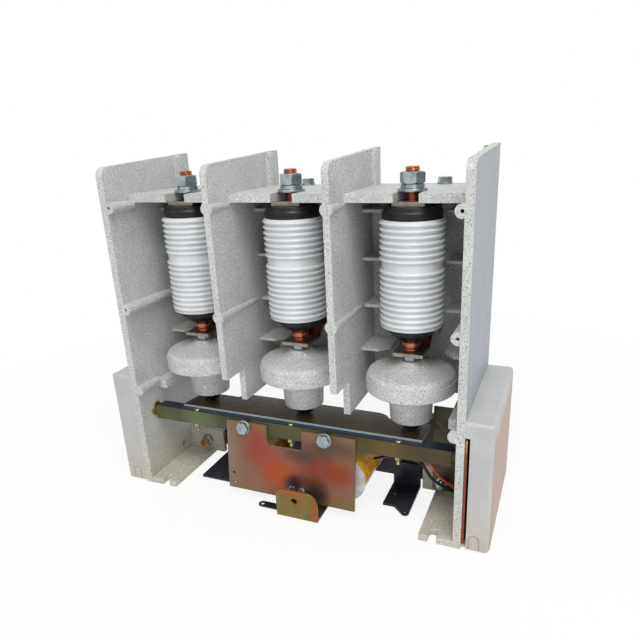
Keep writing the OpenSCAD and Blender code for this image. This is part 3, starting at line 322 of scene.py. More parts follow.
# Side covers: smooth pale grey thermoplastic boxes that close the wiring space outside the walls, held by
# two brass screws each, sunk in their outer faces. Behind the right one's slot stands a red-brown laminate
# board with a brass strip. The stop tab reaches a little further forward than the walls' fronts.
cover_edge, strip_edge, tab_reach = 0.0008, 0.0003, 0.0095
screw_head_r, screw_head_h, recess_room = 0.0032, 0.0018, 0.0006
cover_screws = ((0.033, 0.104), (0.102, 0.029))
reflection_full, reflection_top = 0.122, 0.134
front_y = cad_low.y + tab_reach
outer_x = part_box("right_side_cover")[1].x


def finished_mesh(shape, angle=32):
    """A plain mesh with outward faces, smooth where its faces meet at a small angle."""
    bmesh.ops.recalc_face_normals(shape, faces=shape.faces)
    mesh = bpy.data.meshes.new("shape")
    shape.to_mesh(mesh)
    shape.free()
    return smoothed(mesh, math.radians(angle))


def revolve(profile, steps, ring=False):
    """A lathe mesh about Z from (radius, height) points, listed upwards on the outside; a ring has a bore."""
    shape = bmesh.new()
    rows = []
    for radius, height in profile:
        count = steps if radius > 0 else 1
        angles = [2 * math.pi * k / steps for k in range(count)]
        rows.append([shape.verts.new((radius * math.cos(a), radius * math.sin(a), height)) for a in angles])
    pairs = list(zip(rows, rows[1:])) + ([(rows[-1], rows[0])] if ring else [])
    for low, high in pairs:
        for k in range(steps):
            after = k + 1
            corners = [low[k % len(low)], low[after % len(low)], high[after % len(high)], high[k % len(high)]]
            corners = list(dict.fromkeys(corners))
            if len(corners) > 2:
                shape.faces.new(corners)
    return finished_mesh(shape)


def rounded(corners, steps=5):
    """A polyline of (radius, height, rounding) corners, with each rounding drawn as a short curve."""
    points = []
    for k, (radius, height, rounding) in enumerate(corners):
        here = Vector((radius, height))
        if not rounding:
            points.append(tuple(here))
            continue
        before, after = Vector(corners[k - 1][:2]), Vector(corners[(k + 1) % len(corners)][:2])
        start = here + (before - here).normalized() * rounding
        end = here + (after - here).normalized() * rounding
        for i in range(steps + 1):
            t = i / steps
            points.append(tuple(start * (1 - t) ** 2 + here * 2 * t * (1 - t) + end * t ** 2))
    return points


def geometry_tree(name, **inputs):
    """An empty geometry tree that takes geometry and named inputs, and its two end nodes."""
    outputs = dict(geometry="Geometry")
    return node_group(name, "GeometryNodeTree", {**outputs, **inputs}, outputs)


def grown(name, tree, mesh=None, **values):
    """A piece made by a geometry tree with these values, as a plain mesh."""
    piece = linked(name, mesh or bpy.data.meshes.new(name))
    modifier = piece.modifiers.new(tree.name, "NODES")
    modifier.node_group = tree
    for item in tree.interface.items_tree:
        if item.in_out == "INPUT" and item.name in values:
            modifier[item.identifier] = values[item.name]
    return made_plain(piece)


def on_points(points, piece):
    """Plain copies of a piece at the points."""
    copies = fed("GeometryNodeInstanceOnPoints", {"Points": points, "Instance": piece}).outputs[0]
    return fed("GeometryNodeRealizeInstances", {"Geometry": copies}).outputs[0]


def copies_tree():
    """Tree: one fastener repeated at each point of the base mesh."""
    tree, given, result = geometry_tree("fastener_copies", fastener="Object")
    fastener = fed("GeometryNodeObjectInfo", {"Object": given["fastener"]}).outputs["Geometry"]
    return end_group(tree, result, geometry=on_points(given["geometry"], fastener))


fastener_copies = copies_tree()


def repeated(name, mesh, places):
    """Copies of a fastener's mesh at the places."""
    points = bpy.data.meshes.new(name)
    points.from_pydata(places, [], [])
    model = linked(name + "_model", mesh)
    piece = grown(name, fastener_copies, points, fastener=model)
    bpy.data.objects.remove(model)
    return piece


def turned_to(mesh, axis):
    """Lays a mesh that was drawn along +Z along another axis."""
    mesh.transform(Vector((0, 0, 1)).rotation_difference(Vector(axis)).to_matrix().to_4x4())
    return mesh


def tarnished_metal():
    """Group: a clean metal with darker stains, and a roughness that follows handling marks."""
    tree, given, result = node_group(
        "tarnished_metal", "ShaderNodeTree",
        dict(Clean="Color", Stain="Color", Spread="Float", Amount="Float", Smooth="Float", Worn="Float"),
        dict(Color="Color", Roughness="Float", Height="Float"))
    place = object_place(tree)
    clouds = noise(place, given["Spread"], 5.0, 0.6, 0.4)
    marks = noise(place, calc("MULTIPLY", given["Spread"], 6.0), 3.0, 0.7)
    share = calc("MULTIPLY", between(clouds, 0.38, 0.68), given["Amount"])
    rough = fed("ShaderNodeMapRange", {"Value": marks, "From Min": 0.3, "From Max": 0.7,
                                       "To Min": given["Smooth"], "To Max": given["Worn"]})
    return end_group(tree, result, Color=blend(share, given["Clean"], given["Stain"]),
                     Roughness=rough.outputs["Result"], Height=marks)


metal = tarnished_metal()


def metal_material(name, clean, stain, spread, amount, smooth, worn, metallic=1.0, depth=0.00004,
                   strength=0.6):
    material, tree = new_material(name, metallic=metallic)
    look = place_group(tree, metal, Clean=srgb(*clean), Stain=srgb(*stain), Spread=spread, Amount=amount,
                       Smooth=smooth, Worn=worn)
    return painted(material, look["Color"], look["Roughness"], look["Height"], depth, strength)


def cover_material():
    """Fine-grained plastic, with a painted warm reflection on the outer faces below the lid."""
    material, tree = new_material("cover_plastic", 0.42)
    grain = place_group(tree, specks, Ground=srgb(182, 183, 183), Dark=srgb(162, 163, 164),
                        Pale=srgb(200, 201, 201), Grain=1100.0, Amount=0.5)
    side = between(calc("ABSOLUTE", facing(tree, (1, 0, 0))), 0.75, 0.98)
    below = between(object_axis(tree, "Z"), reflection_top, reflection_full, 0.0, 0.95)
    # Painted reflection: the outer side faces below the lid are blended towards a warm pinkish tan.
    painted_reflection = calc("MULTIPLY", side, below)
    colour = blend(painted_reflection, tinted_low(tree, grain["Color"]), srgb(172, 142, 126))
    return painted(material, colour, height=grain["Height"])


def stretched_place(tree, scale):
    return fed("ShaderNodeMapping", {"Vector": object_place(tree), "Scale": scale}).outputs[0]


def laminate_material():
    material, tree = new_material("red_brown_laminate", 0.38)
    streaks = noise(stretched_place(tree, (1, 0.08, 0.5)), 900.0, 4.0, 0.6)
    colour = blend(between(streaks, 0.35, 0.7), srgb(120, 56, 38), srgb(158, 84, 54))
    return painted(material, colour, height=streaks, depth=0.00008, strength=0.4)


cover_plastic = cover_material()
brass = metal_material("turned_brass", (214, 178, 104), (150, 108, 48), 90.0, 0.7, 0.22, 0.42)
zinc = metal_material("bright_zinc", (172, 182, 186), (104, 116, 124), 160.0, 0.55, 0.2, 0.4)
dress_solid("terminal_boards", strip_edge, laminate_material(), "frame", "laminate")
dress_solid("board_strips", strip_edge, brass, "frame", "brass")
head_shape = ((0, 0), (1, 0), (1, 0.35), (0.86, 0.75), (0.55, 1), (0.4, 0.98), (0, 0.35))
pan_head = revolve([(r * screw_head_r, z * screw_head_h) for r, z in head_shape], 24)
recess_r, recess_top = screw_head_r + recess_room, 2 * screw_head_h
recess = revolve([(0, 0), (recess_r, 0), (recess_r, recess_top), (0, recess_top)], 32)
for side, name in ((-1, "left"), (1, "right")):
    places = [(side * (outer_x - screw_head_h), front_y + back, up) for back, up in cover_screws]
    cutter = repeated(name + "_recesses", turned_to(recess.copy(), (side, 0, 0)), places)
    cover = softened(name + "_side_cover", cover_edge)
    cut = cover.modifiers.new("recesses", "BOOLEAN")
    cut.operation, cut.object = "DIFFERENCE", cutter
    made_plain(cover).data.set_sharp_from_angle(angle=crease_angle)
    dress(with_flat_faces(cover), cover_plastic, "frame", "cover_plastic", name + "_side_cover")
    bpy.data.objects.remove(cutter)
    heads = repeated(name + "_cover_screws", turned_to(pan_head.copy(), (side, 0, 0)), places)
    dress(heads, brass, "frame", "brass")


# Interrupters: tubes of white glazed alumina, ribbed against tracking, with a plain band where the inner
# shield is held. The glaze is satin, a little cloudy, with a few pinholes.
rib_half, rib_reach, rib_pitch, band = 0.0017, 0.0021, 0.0057, 0.0066
ribs_below, core_r = 10.0, 0.0296
first_below, first_above = 0.8, 0.2


def surface_axes(tree):
    return fed("ShaderNodeSeparateXYZ", {0: put(tree, "GeometryNodeInputPosition").outputs[0]}).outputs


def cylinder(corners, rows, radius, length):
    inputs = {"Vertices": corners, "Side Segments": rows, "Radius": radius, "Depth": length}
    return fed("GeometryNodeMeshCylinder", inputs).outputs["Mesh"]


def widened(mesh, axes, share):
    """Moves a surface about Z to a share of its radius."""
    flat = {axis: calc("MULTIPLY", axes[axis], share) for axis in "XY"}
    place = fed("ShaderNodeCombineXYZ", {**flat, "Z": axes["Z"]}).outputs[0]
    return fed("GeometryNodeSetPosition", {"Geometry": mesh, "Position": place}).outputs[0]


def ribbed_tube():
    """Tree: a tube whose radius swells by a half round at each rib below and above a plain band."""
    tree, given, result = geometry_tree("ribbed_tube", core="Float", height="Float", half="Float",
                                        reach="Float", pitch="Float", below="Float", band="Float")
    axes = surface_axes(tree)
    up = calc("ADD", axes["Z"], calc("MULTIPLY", given["height"], 0.5))
    pitch = given["pitch"]
    below_top = calc("MULTIPLY", calc("ADD", given["below"], 0.5), pitch)
    above_foot = calc("ADD", below_top, given["band"])

    def swell(height, first):
        """Radial swell for ribs whose first middle lies a share of the pitch above the height's zero."""
        turns = calc("SUBTRACT", calc("DIVIDE", height, pitch), first - 0.5)
        off = calc("MULTIPLY", calc("SUBTRACT", calc("FRACT", turns), 0.5), pitch)
        off = calc("DIVIDE", off, given["half"])
        bow = calc("MAXIMUM", calc("SUBTRACT", 1.0, calc("MULTIPLY", off, off)), 0.0)
        return calc("MULTIPLY", calc("SQRT", bow), given["reach"])

    lower = calc("MULTIPLY", swell(up, first_below), calc("LESS_THAN", up, below_top))
    above = calc("SUBTRACT", up, above_foot)
    upper = calc("MULTIPLY", swell(above, first_above), calc("GREATER_THAN", up, above_foot))
    growth = calc("DIVIDE", calc("ADD", lower, upper), given["core"])
    tube = cylinder(88, 300, given["core"], given["height"])
    return end_group(tree, result, geometry=widened(tube, axes, calc("ADD", growth, 1.0)))


def glaze_material():
    material, tree = new_material("white_glaze", 0.3, Coat_Weight=0.25, Coat_Roughness=0.12)
    place = object_place(tree)
    clouds = between(noise(place, 45.0, 3.0), 0.3, 0.7)
    pinholes = between(noise(place, 1400.0, 1.0), 0.74, 0.8)
    colour = blend(clouds, srgb(206, 209, 212), srgb(215, 217, 219))
    colour = blend(pinholes, colour, srgb(196, 194, 190))
    rough = between(noise(place, 160.0, 3.0), 0.3, 0.7, 0.28, 0.4)
    return painted(material, colour, rough, noise(place, 260.0, 2.0), 0.00012, 0.35)


def moved(mesh, offset):
    mesh.transform(Matrix.Translation(offset))
    return mesh


ceramic_tree, glaze = ribbed_tube(), glaze_material()
sides = ("left", "middle", "right")
poles = [sum(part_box("ceramic_" + side), Vector()) / 2 for side in sides]
for side, pole in zip(sides, poles):
    node = "ceramic_" + side
    low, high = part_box(node)
    tube = grown(node + "_glazed", ceramic_tree, core=core_r, height=high.z - low.z, half=rib_half,
                 reach=rib_reach, pitch=rib_pitch, below=ribs_below, band=band)
    for face in moved(tube.data, pole).polygons:
        face.use_smooth = abs(face.normal.z) < 0.999
    dress(tube, glaze, "frame", "ceramic", node)


# End caps: deep-drawn steel lids brazed on the ceramic and painted semi-gloss black. The lower ones are
# bowls that guide the moving stems. Each has one profile, of (radius, height, rounding) corners.
upper_bore, upper_r, lower_bore, lower_r = 0.0071, 0.029, 0.0076, 0.028
upper_low, upper_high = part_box("upper_end_caps")
lower_low, lower_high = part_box("lower_end_caps")
upper_h, lower_h = upper_high.z - upper_low.z, lower_high.z - lower_low.z
upper_profile = [(upper_bore, 0, 0), (upper_r, 0, 0.0004), (upper_r, upper_h - 0.0055, 0.0008),
                 (0.0278, upper_h - 0.0042, 0.0005), (0.0272, upper_h, 0.0008), (upper_bore, upper_h, 0)]
lower_profile = [(lower_bore, 0, 0), (0.016, 0, 0.0015), (0.0235, 0.0065, 0.003),
                 (lower_r, lower_h - 0.001, 0.0008), (lower_r, lower_h, 0.0002), (lower_bore, lower_h, 0)]


def black_paint_material():
    material, tree = new_material("black_cap_paint", 0.3, Specular_IOR_Level=0.35)
    place = object_place(tree)
    dust_and_low_tint = between(noise(place, 220.0, 4.0, 0.65), 0.45, 0.8)
    colour = blend(dust_and_low_tint, srgb(13, 14, 18), srgb(30, 31, 35))
    rough = between(noise(place, 90.0, 3.0), 0.3, 0.7, 0.26, 0.46)
    return painted(material, colour, rough, noise(place, 500.0, 2.0))


def on_poles(height):
    return [(pole.x, pole.y, height) for pole in poles]


black_paint = black_paint_material()
for name, profile, foot in (("upper", upper_profile, upper_low.z), ("lower", lower_profile, lower_low.z)):
    lids = repeated(name + "_lids", revolve(rounded(profile), 72, ring=True), on_poles(foot))
    dress(lids, black_paint, "frame", "black_cap", name + "_end_caps")


# Fixed studs: M14 threaded copper studs that leave the tubes through the shelf, held by bright zinc nuts
# on a split spring washer and a flat washer. Two hex bolts behind each hold the shelf's rear.
stud_r, stud_pitch, stud_depth, stud_room, nut_bite = 0.007, 0.002, 0.0009, 0.0002, 0.0004
nut_width, nut_height = 0.021, 0.011
flat_washer, flat_washer_r, spring_washer, spring_washer_r = 0.0028, 0.014, 0.0038, 0.0112
m8_r, m8_pitch, m8_depth, m8_width = 0.004, 0.00125, 0.0005, 0.0128
m8_washer_bore, m8_washer_r, m8_washer = 0.0042, 0.008, 0.002
shelf_bolt_off = 0.015


def winding(axes, pitch):
    """How many turns of a helix about Z lie below a point of the surface."""
    angle = calc("DIVIDE", calc("ARCTAN2", axes["Y"], axes["X"]), 2 * math.pi)
    return calc("SUBTRACT", calc("DIVIDE", axes["Z"], pitch), angle)


def cut_in(mesh, axes, share, depth, radius):
    """Moves a surface about Z inwards by a share of the depth."""
    part = calc("MULTIPLY", share, calc("DIVIDE", depth, radius))
    return widened(mesh, axes, calc("SUBTRACT", 1.0, part))


def thread_tree():
    """Tree: a rod along Z whose surface follows a helical thread, with its ends turned down."""
    tree, given, result = geometry_tree("threaded_rod", radius="Float", length="Float", pitch="Float",
                                        depth="Float", rows="Int")
    axes, depth = surface_axes(tree), given["depth"]
    turns = calc("FRACT", winding(axes, given["pitch"]))
    flank = calc("ABSOLUTE", calc("SUBTRACT", turns, 0.5))
    flank = calc("MINIMUM", calc("MULTIPLY", flank, 2.4), 1.0)
    half = calc("MULTIPLY", given["length"], 0.5)
    to_end = calc("SUBTRACT", half, calc("ABSOLUTE", axes["Z"]))
    lead = calc("SUBTRACT", 1.0, calc("DIVIDE", to_end, depth))
    cut = calc("MAXIMUM", flank, calc("MAXIMUM", lead, 0.0))
    rod = cylinder(32, given["rows"], given["radius"], given["length"])
    return end_group(tree, result, geometry=cut_in(rod, axes, cut, depth, given["radius"]))


threaded_rod = thread_tree()


def grown_mesh(tree, angle, **values):
    """The mesh that a geometry tree makes, smooth where its faces meet at a small angle."""
    piece = grown(tree.name, tree, **values)
    mesh = piece.data
    bpy.data.objects.remove(piece)
    return smoothed(mesh, math.radians(angle))


def rod_mesh(radius, length, pitch, depth):
    """The plain mesh of a threaded rod that stands on the origin."""
    mesh = grown_mesh(threaded_rod, 50, radius=radius, length=length, pitch=pitch, depth=depth,
                      rows=int(length / pitch * 8))
    return moved(mesh, (0, 0, length / 2))


def hex_mesh(width, height, bore=0.0, both_ends=False):
    """A hexagon with its corners turned off to a cone, as on nuts and bolt heads, standing on the origin."""
    steps, slope, face_share = 48, math.tan(math.radians(30)), 0.475
    inner = face_share * width
    rows = [[] for _ in range(6)]
    shape = bmesh.new()
    for k in range(steps):
        angle = 2 * math.pi * k / steps
        reach = width / 2 / math.cos((angle % (math.pi / 3)) - math.pi / 6)
        drop = (reach - inner) * slope
        heights = (0, 0, drop if both_ends else 0.0, height - drop, height, height)
        radii = (bore, inner, reach, reach, inner, bore)
        for row, radius, z in zip(rows, radii, heights):
            row.append(shape.verts.new((radius * math.cos(angle), radius * math.sin(angle), z)))
    for low, high in list(zip(rows, rows[1:])) + ([(rows[5], rows[0])] if bore else []):
        for k in range(steps):
            shape.faces.new((low[k], low[(k + 1) % steps], high[(k + 1) % steps], high[k]))
    bmesh.ops.remove_doubles(shape, verts=shape.verts, dist=1e-6)
    return finished_mesh(shape, 25)


def washer_mesh(inner, outer, thickness):
    edge = thickness * 0.2
    corners = [(inner, 0, 0), (outer, 0, edge), (outer, thickness, edge), (inner, thickness, 0)]
    return revolve(rounded(corners, 3), 48, ring=True)


def split_washer_mesh(inner, outer, thickness):
    """A spring washer: a flat ring that is cut through and whose ends stand a little apart."""
    steps, gap, rise = 56, math.radians(7), thickness * 0.22
    top = thickness - rise / 2
    section = ((inner, 0), (outer, 0), (outer, top), (inner, top))
    shape = bmesh.new()
    rings = []
    for k in range(steps + 1):
        t = k / steps
        angle = gap + (2 * math.pi - 2 * gap) * t
        lift = rise * (t - 0.5)
        rings.append([shape.verts.new((r * math.cos(angle), r * math.sin(angle), max(0.0, z + lift)))
                      for r, z in section])
    for first, second in zip(rings, rings[1:]):
        for k in range(4):
            shape.faces.new((first[k], first[(k + 1) % 4], second[(k + 1) % 4], second[k]))
    shape.faces.new(rings[0])
    shape.faces.new(rings[-1])
    return finished_mesh(shape, 40)


def joined_mesh(*parts):
    """Several meshes in one, each moved by its own offset."""
    shape = bmesh.new()
    for mesh, offset in parts:
        shape.from_mesh(moved(mesh.copy(), offset))
    mesh = bpy.data.meshes.new("joined")
    shape.to_mesh(mesh)
    shape.free()
    return mesh


copper = metal_material("turned_copper", (196, 124, 96), (118, 66, 48), 130.0, 0.65, 0.24, 0.45)
stud_low, stud_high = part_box("fixed_studs")
stud = rod_mesh(stud_r, stud_high.z - stud_low.z, stud_pitch, stud_depth)
studs = repeated("fixed_studs_threaded", stud, on_poles(stud_low.z))
dress(studs, copper, "frame", "copper", "fixed_studs")
stack = joined_mesh(
    (washer_mesh(stud_r + stud_room, flat_washer_r, flat_washer), (0, 0, 0)),
    (split_washer_mesh(stud_r + stud_room, spring_washer_r, spring_washer), (0, 0, flat_washer)),
    (hex_mesh(nut_width, nut_height, stud_r - nut_bite, True), (0, 0, flat_washer + spring_washer)))
nuts = repeated("stud_nuts_washers", stack, on_poles(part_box("stud_nuts")[0].z))
dress(nuts, zinc, "frame", "zinc", "stud_nuts")
bolt_low, bolt_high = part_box("shelf_bolts")
shelf_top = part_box("top_shelves")[1].z
bolt_y = (bolt_low.y + bolt_high.y) / 2
head = joined_mesh((washer_mesh(m8_washer_bore, m8_washer_r, m8_washer), (0, 0, 0)),
                   (hex_mesh(m8_width, bolt_high.z - shelf_top - m8_washer), (0, 0, m8_washer)))
heads = repeated("shelf_bolt_heads", head, [(pole.x + off, bolt_y, shelf_top) for pole in poles
                                            for off in (-shelf_bolt_off, shelf_bolt_off)])
dress(heads, zinc, "frame", "zinc", "shelf_bolts")


# Conductors: tinned copper bars run out at the back. A stack of thin dark copper leaves carries the current
# from each moving stem to its lower bar; a tinned lug clamps its front end.
bar_edge, lug_edge = 0.0005, 0.0004
link_width, leaf, leaves, leaf_gap = 0.031, 0.00058, 6, 0.0003
set_back, leaf_rise, lug_thickness = 0.55 * leaf, 1.02 * leaf, (leaves + 0.6) * leaf
bend_front, bend_lap, bend_steps = 0.015, 0.003, 24


def leaf_tree():
    """Tree: leaves of a given width and thickness, stacked along a path, each set back by one step."""
    tree, given, result = geometry_tree("leaf_stack", width="Float", leaf="Float", leaves="Int",
                                        step="Vector")
    path = fed("GeometryNodeMeshToCurve", {"Mesh": given["geometry"]}).outputs[0]
    path = fed("GeometryNodeSetCurveNormal", {"Curve": path}, mode="Z_UP").outputs[0]
    size = {"Width": given["width"], "Height": given["leaf"]}
    section = fed("GeometryNodeCurvePrimitiveQuadrilateral", size).outputs[0]
    swept = {"Curve": path, "Profile Curve": section, "Fill Caps": True}
    strip = fed("GeometryNodeCurveToMesh", swept).outputs[0]
    line = fed("GeometryNodeMeshLine", {"Count": given["leaves"], "Offset": given["step"]}).outputs[0]
    return end_group(tree, result, geometry=on_points(line, strip))


tin = metal_material("tinned_copper", (158, 152, 140), (112, 101, 84), 110.0, 0.6, 0.3, 0.5)
dark_copper = metal_material("dark_copper_leaves", (132, 80, 60), (56, 36, 32), 70.0, 0.9, 0.34, 0.6)
for node in ("upper_terminals", "lower_terminals"):
    dress_solid(node, bar_edge, tin, "frame", "tinned_copper")
leaf_stack = leaf_tree()
for side, pole in zip(sides, poles):
    node = "flexible_link_" + side
    low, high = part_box(node)
    lug_z, pad_z = low.z, high.z - leaf * leaves - leaf_gap
    s_front, s_back = pole.y + bend_front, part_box("lower_terminals")[0].y
    path = [(pole.x, s_front - bend_lap, lug_z + leaf), (pole.x, s_front, lug_z + leaf)]
    for k in range(1, bend_steps):
        t = k / bend_steps
        rise = (pad_z - lug_z) * (1 - math.cos(math.pi * t)) / 2
        path.append((pole.x, s_front + (s_back - s_front) * t, lug_z + leaf + rise))
    path += [(pole.x, s_back, pad_z + leaf), (pole.x, high.y - leaf_gap, pad_z + leaf)]
    spine = bpy.data.meshes.new(node)
    spine.from_pydata(path, [(k, k + 1) for k in range(len(path) - 1)], [])
    link = grown(node + "_leaves", leaf_stack, spine, width=link_width, leaf=leaf, leaves=leaves,
                 step=(0.0, -set_back, leaf_rise))
    coat(link.data, dark_copper)
    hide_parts(node)
    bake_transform(link)
    lug = bmesh.new()
    bmesh.ops.create_cube(lug, size=1.0)
    lug_size = Vector((link_width, s_front - low.y, lug_thickness))
    bmesh.ops.scale(lug, vec=lug_size, verts=lug.verts)
    bmesh.ops.bevel(lug, geom=lug.edges, offset=lug_edge, segments=2, affect="EDGES")
    lug_middle = (pole.x, (low.y + s_front) / 2, lug_z + lug_size.z / 2)
    plate = linked("lug_" + side, moved(finished_mesh(lug), lug_middle))
    dress(plate, tin, "drive_" + side, "tinned_copper")


# Moving stems: threaded copper rods with a collar nut, standing on the lug of the link. They slide in the
# lower end caps.
stem_r, stem_pitch, stem_depth = 0.0075, 0.0021, 0.0008
collar_r, collar_bore, collar_h, collar_edge, collar_rise = 0.0095, stem_r - 0.001, 0.005, 0.0008, 0.0056
collar_profile = [(collar_bore, 0, 0), (collar_r, 0, collar_edge), (collar_r, collar_h, collar_edge),
                  (collar_bore, collar_h, 0)]
collar = revolve(rounded(collar_profile, 4), 48, ring=True)
for side, pole in zip(sides, poles):
    node = "moving_stem_" + side
    low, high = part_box(node)
    rod = rod_mesh(stem_r, high.z - low.z, stem_pitch, stem_depth)
    stem = joined_mesh((rod, (pole.x, pole.y, low.z)), (collar, (pole.x, pole.y, low.z + collar_rise)))
    dress(linked(node + "_threaded", stem), copper, "drive_" + side, "copper", node)


# Drive insulators: mushrooms of the same speckled moulding as the frame. A neck stands on a nut over the
# lift plate, a wide disc lengthens the creepage path, and a boss on top takes the rod.
disc_profile = [(0.00505, 0, 0), (0.022, 0, 0.0012), (0.024, 0.0355, 0.003), (0.047, 0.0355, 0.0018),
                (0.047, 0.0491, 0.0007), (0.0459, 0.0491, 0.0002), (0.0462, 0.0549, 0.0056),
                (0.0165, 0.0608, 0.0075), (0.011, 0.0665, 0.0012), (0.00505, 0.0665, 0)]
for side, pole in zip(sides, poles):
    node = "drive_insulator_" + side
    mushroom = moved(revolve(rounded(disc_profile, 9), 112, ring=True), (pole.x, pole.y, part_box(node)[0].z))
    dress(linked(node + "_moulded", mushroom), moulding, "drive_" + side, "moulding", node)


# Drive rods: M10 zinc-plated rods through the insulators, with a nut under the lug, a dark nut under the
# neck and one below the lift plate.
rod_r, rod_pitch, rod_depth, rod_bore, rod_end = 0.005, 0.0015, 0.0006, 0.0047, 0.00255
drive_nut, foot_nut_width, foot_nut_h, under_nut_h, under_nut_rise = 0.016, 0.018, 0.0102, 0.007, 0.004
black_oxide = metal_material("black_oxide", (74, 74, 66), (32, 31, 30), 140.0, 0.8, 0.25, 0.42)
for side, pole in zip(sides, poles):
    node = "drive_bolt_" + side
    low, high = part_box(node)
    foot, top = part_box("drive_insulator_" + side)
    axis_xy = (pole.x, pole.y)
    upper_nut = hex_mesh(drive_nut, high.z - rod_end - top.z, rod_bore, True)
    foot_nut = hex_mesh(foot_nut_width, foot_nut_h, rod_bore, True)
    under_nut = hex_mesh(drive_nut, under_nut_h, rod_bore, True)
    bolt = joined_mesh((rod_mesh(rod_r, high.z - low.z, rod_pitch, rod_depth), (*axis_xy, low.z)),
                       (upper_nut, (*axis_xy, top.z)), (under_nut, (*axis_xy, low.z + under_nut_rise)))
    dress(linked(node + "_threaded", bolt), zinc, "drive_" + side, "zinc", node)
    foot_piece = linked("foot_nut_" + side, moved(foot_nut, (*axis_xy, foot.z - foot_nut_h)))
    dress(foot_piece, black_oxide, "drive_" + side, "dark_steel")


# Main shaft: a square steel bar that turns in brass bushes in the side walls and carries the lift plate.
# Shaft and plate are zinc plated and passivated, and lean with the armature. Along the shaft's front the
# film is green, dark and gold.
shaft_edge, plate_edge, bush_edge, shaft_half = 0.0006, 0.0004, 0.0003, 0.19
drive_up, drive_back = (0, -0.1, 0.99), (0, 0.9945, -0.1045)


def colour_ramp(value, stops):
    """Colours, given from 0 to 255, that change with a value from 0 to 1."""
    node = fed("ShaderNodeValToRGB", {"Fac": value})
    elements = node.color_ramp.elements
    while len(elements) < len(stops):
        elements.new(0.5)
    for element, (position, colour) in zip(elements, stops):
        element.position, element.color = position, srgb(*colour)
    return node.outputs["Color"]


def passivate_film():
    """Group: the film of yellow passivation, whose colours run with its thickness."""
    tree, given, result = node_group(
        "passivate_film", "ShaderNodeTree", dict(Stretch="Vector", Spread="Float", Shift="Float"),
        dict(Color="Color", Thickness="Float", Roughness="Float"))
    place = stretched_place(tree, given["Stretch"])
    clouds = noise(place, given["Spread"], 3.0, 0.5, 0.6)
    fine = noise(place, calc("MULTIPLY", given["Spread"], 14.0), 4.0, 0.6)
    grain = calc("MULTIPLY", calc("SUBTRACT", fine, 0.5), 0.12)
    thick = calc("ADD", calc("ADD", clouds, given["Shift"]), grain)
    colours = colour_ramp(thick, (
        (0.12, (96, 84, 92)), (0.28, (104, 106, 74)), (0.42, (142, 132, 82)), (0.55, (176, 152, 92)),
        (0.66, (178, 124, 98)), (0.78, (170, 92, 78)), (0.92, (118, 92, 104))))
    rough = between(fine, 0.3, 0.7, 0.3, 0.46)
    return end_group(tree, result, Color=colours, Thickness=thick, Roughness=rough)


film = passivate_film()


def film_look(tree, spread, shift, stretch=(1.0, 1.0, 1.0)):
    return place_group(tree, film, Stretch=stretch, Spread=spread, Shift=shift)


def shaft_material():
    """Green, then nearly black, then golden along the front; dark teal and purple on top."""
    material, tree = new_material("passivated_shaft", metallic=0.55)
    look = film_look(tree, 16.0, -0.1)
    along = {"Value": object_axis(tree, "X"), "From Min": -shaft_half, "From Max": shaft_half}
    share = fed("ShaderNodeMapRange", along)
    front = colour_ramp(share.outputs["Result"], (
        (0.0, (104, 92, 54)), (0.07, (66, 78, 60)), (0.12, (54, 62, 52)), (0.19, (62, 94, 74)),
        (0.28, (36, 52, 46)), (0.4, (40, 48, 42)), (0.6, (56, 54, 30)), (0.75, (62, 48, 20)),
        (1.0, (58, 44, 24))))
    front = blend(0.2, front, look["Color"])
    clouds = between(noise(object_place(tree), 14.0, 3.0), 0.4, 0.6)
    dark = blend(clouds, srgb(40, 54, 60), srgb(62, 48, 70))
    colour = blend(between(facing(tree, drive_up), 0.5, 0.9), front, dark)
    return painted(material, colour, look["Roughness"], look["Thickness"], strength=0.15)


def lift_material():
    """Nearly black brown film with a little wine-red and gold, and a painted bright bluish highlight along
    the rolled edge.
    """
    material, tree = new_material("passivated_lift_plate", metallic=0.4, Specular_IOR_Level=0.3)
    look = film_look(tree, 22.0, 0.02, (0.5, 1.0, 1.0))
    # Painted highlight: faces that do not face up or down are blended towards a bright bluish grey.
    painted_highlight_rim = between(calc("ABSOLUTE", facing(tree, drive_up)), 0.85, 0.4)
    dark = blend(0.12, srgb(40, 31, 30), look["Color"])
    colour = blend(painted_highlight_rim, dark, srgb(176, 192, 200))
    return painted(material, colour, look["Roughness"], look["Thickness"], strength=0.15)


dress_solid("main_shaft", shaft_edge, shaft_material(), "armature", "yellow_zinc")
dress_solid("lift_plate", plate_edge, lift_material(), "armature", "yellow_zinc")
dress_solid("shaft_bushes", bush_edge, brass, "frame", "brass")


# Armature: a passivated steel plate bolted to the shaft, pulled against the cores when the coils are live.
# Its film is brown and olive at the edges and blooms red and orange in the middle, with two dark patches of
# painted reflection of the stop bracket's parts.
# Its fasteners are drawn about the shaft's axis, as they lie when the contactor is closed.
lean, shaft_axis = math.radians(-6), Vector((0, -0.05725, 0.088))
armature_y, armature_spot_depth = -0.07, 10.0
plate_face, big_bolt_x = -0.012, (-0.0545, 0.0435)
big_head_h, big_bolt_length, bolt_sink = 0.0052, 0.0212, 0.0002
small_bolt_x, small_bolt_z, small_width, small_head_h = (0.005, 0.017), -0.0647, 0.008, 0.00325
screw_x, screw_y, screw_foot, screw_length = (-0.122, 0, 0.122), -0.004, -0.017, 0.025
screw_r, screw_pitch, screw_depth, screw_bore = 0.0025, 0.0008, 0.0003, 0.0023
screw_top, screw_nut_z, screw_nut_h = 0.008, -0.012, 0.004
screw_head_profile = [(0, 0, 0), (0.00375, 0, 0.0003), (0.0028, 0.0016, 0.0005), (0, 0.0016, 0)]


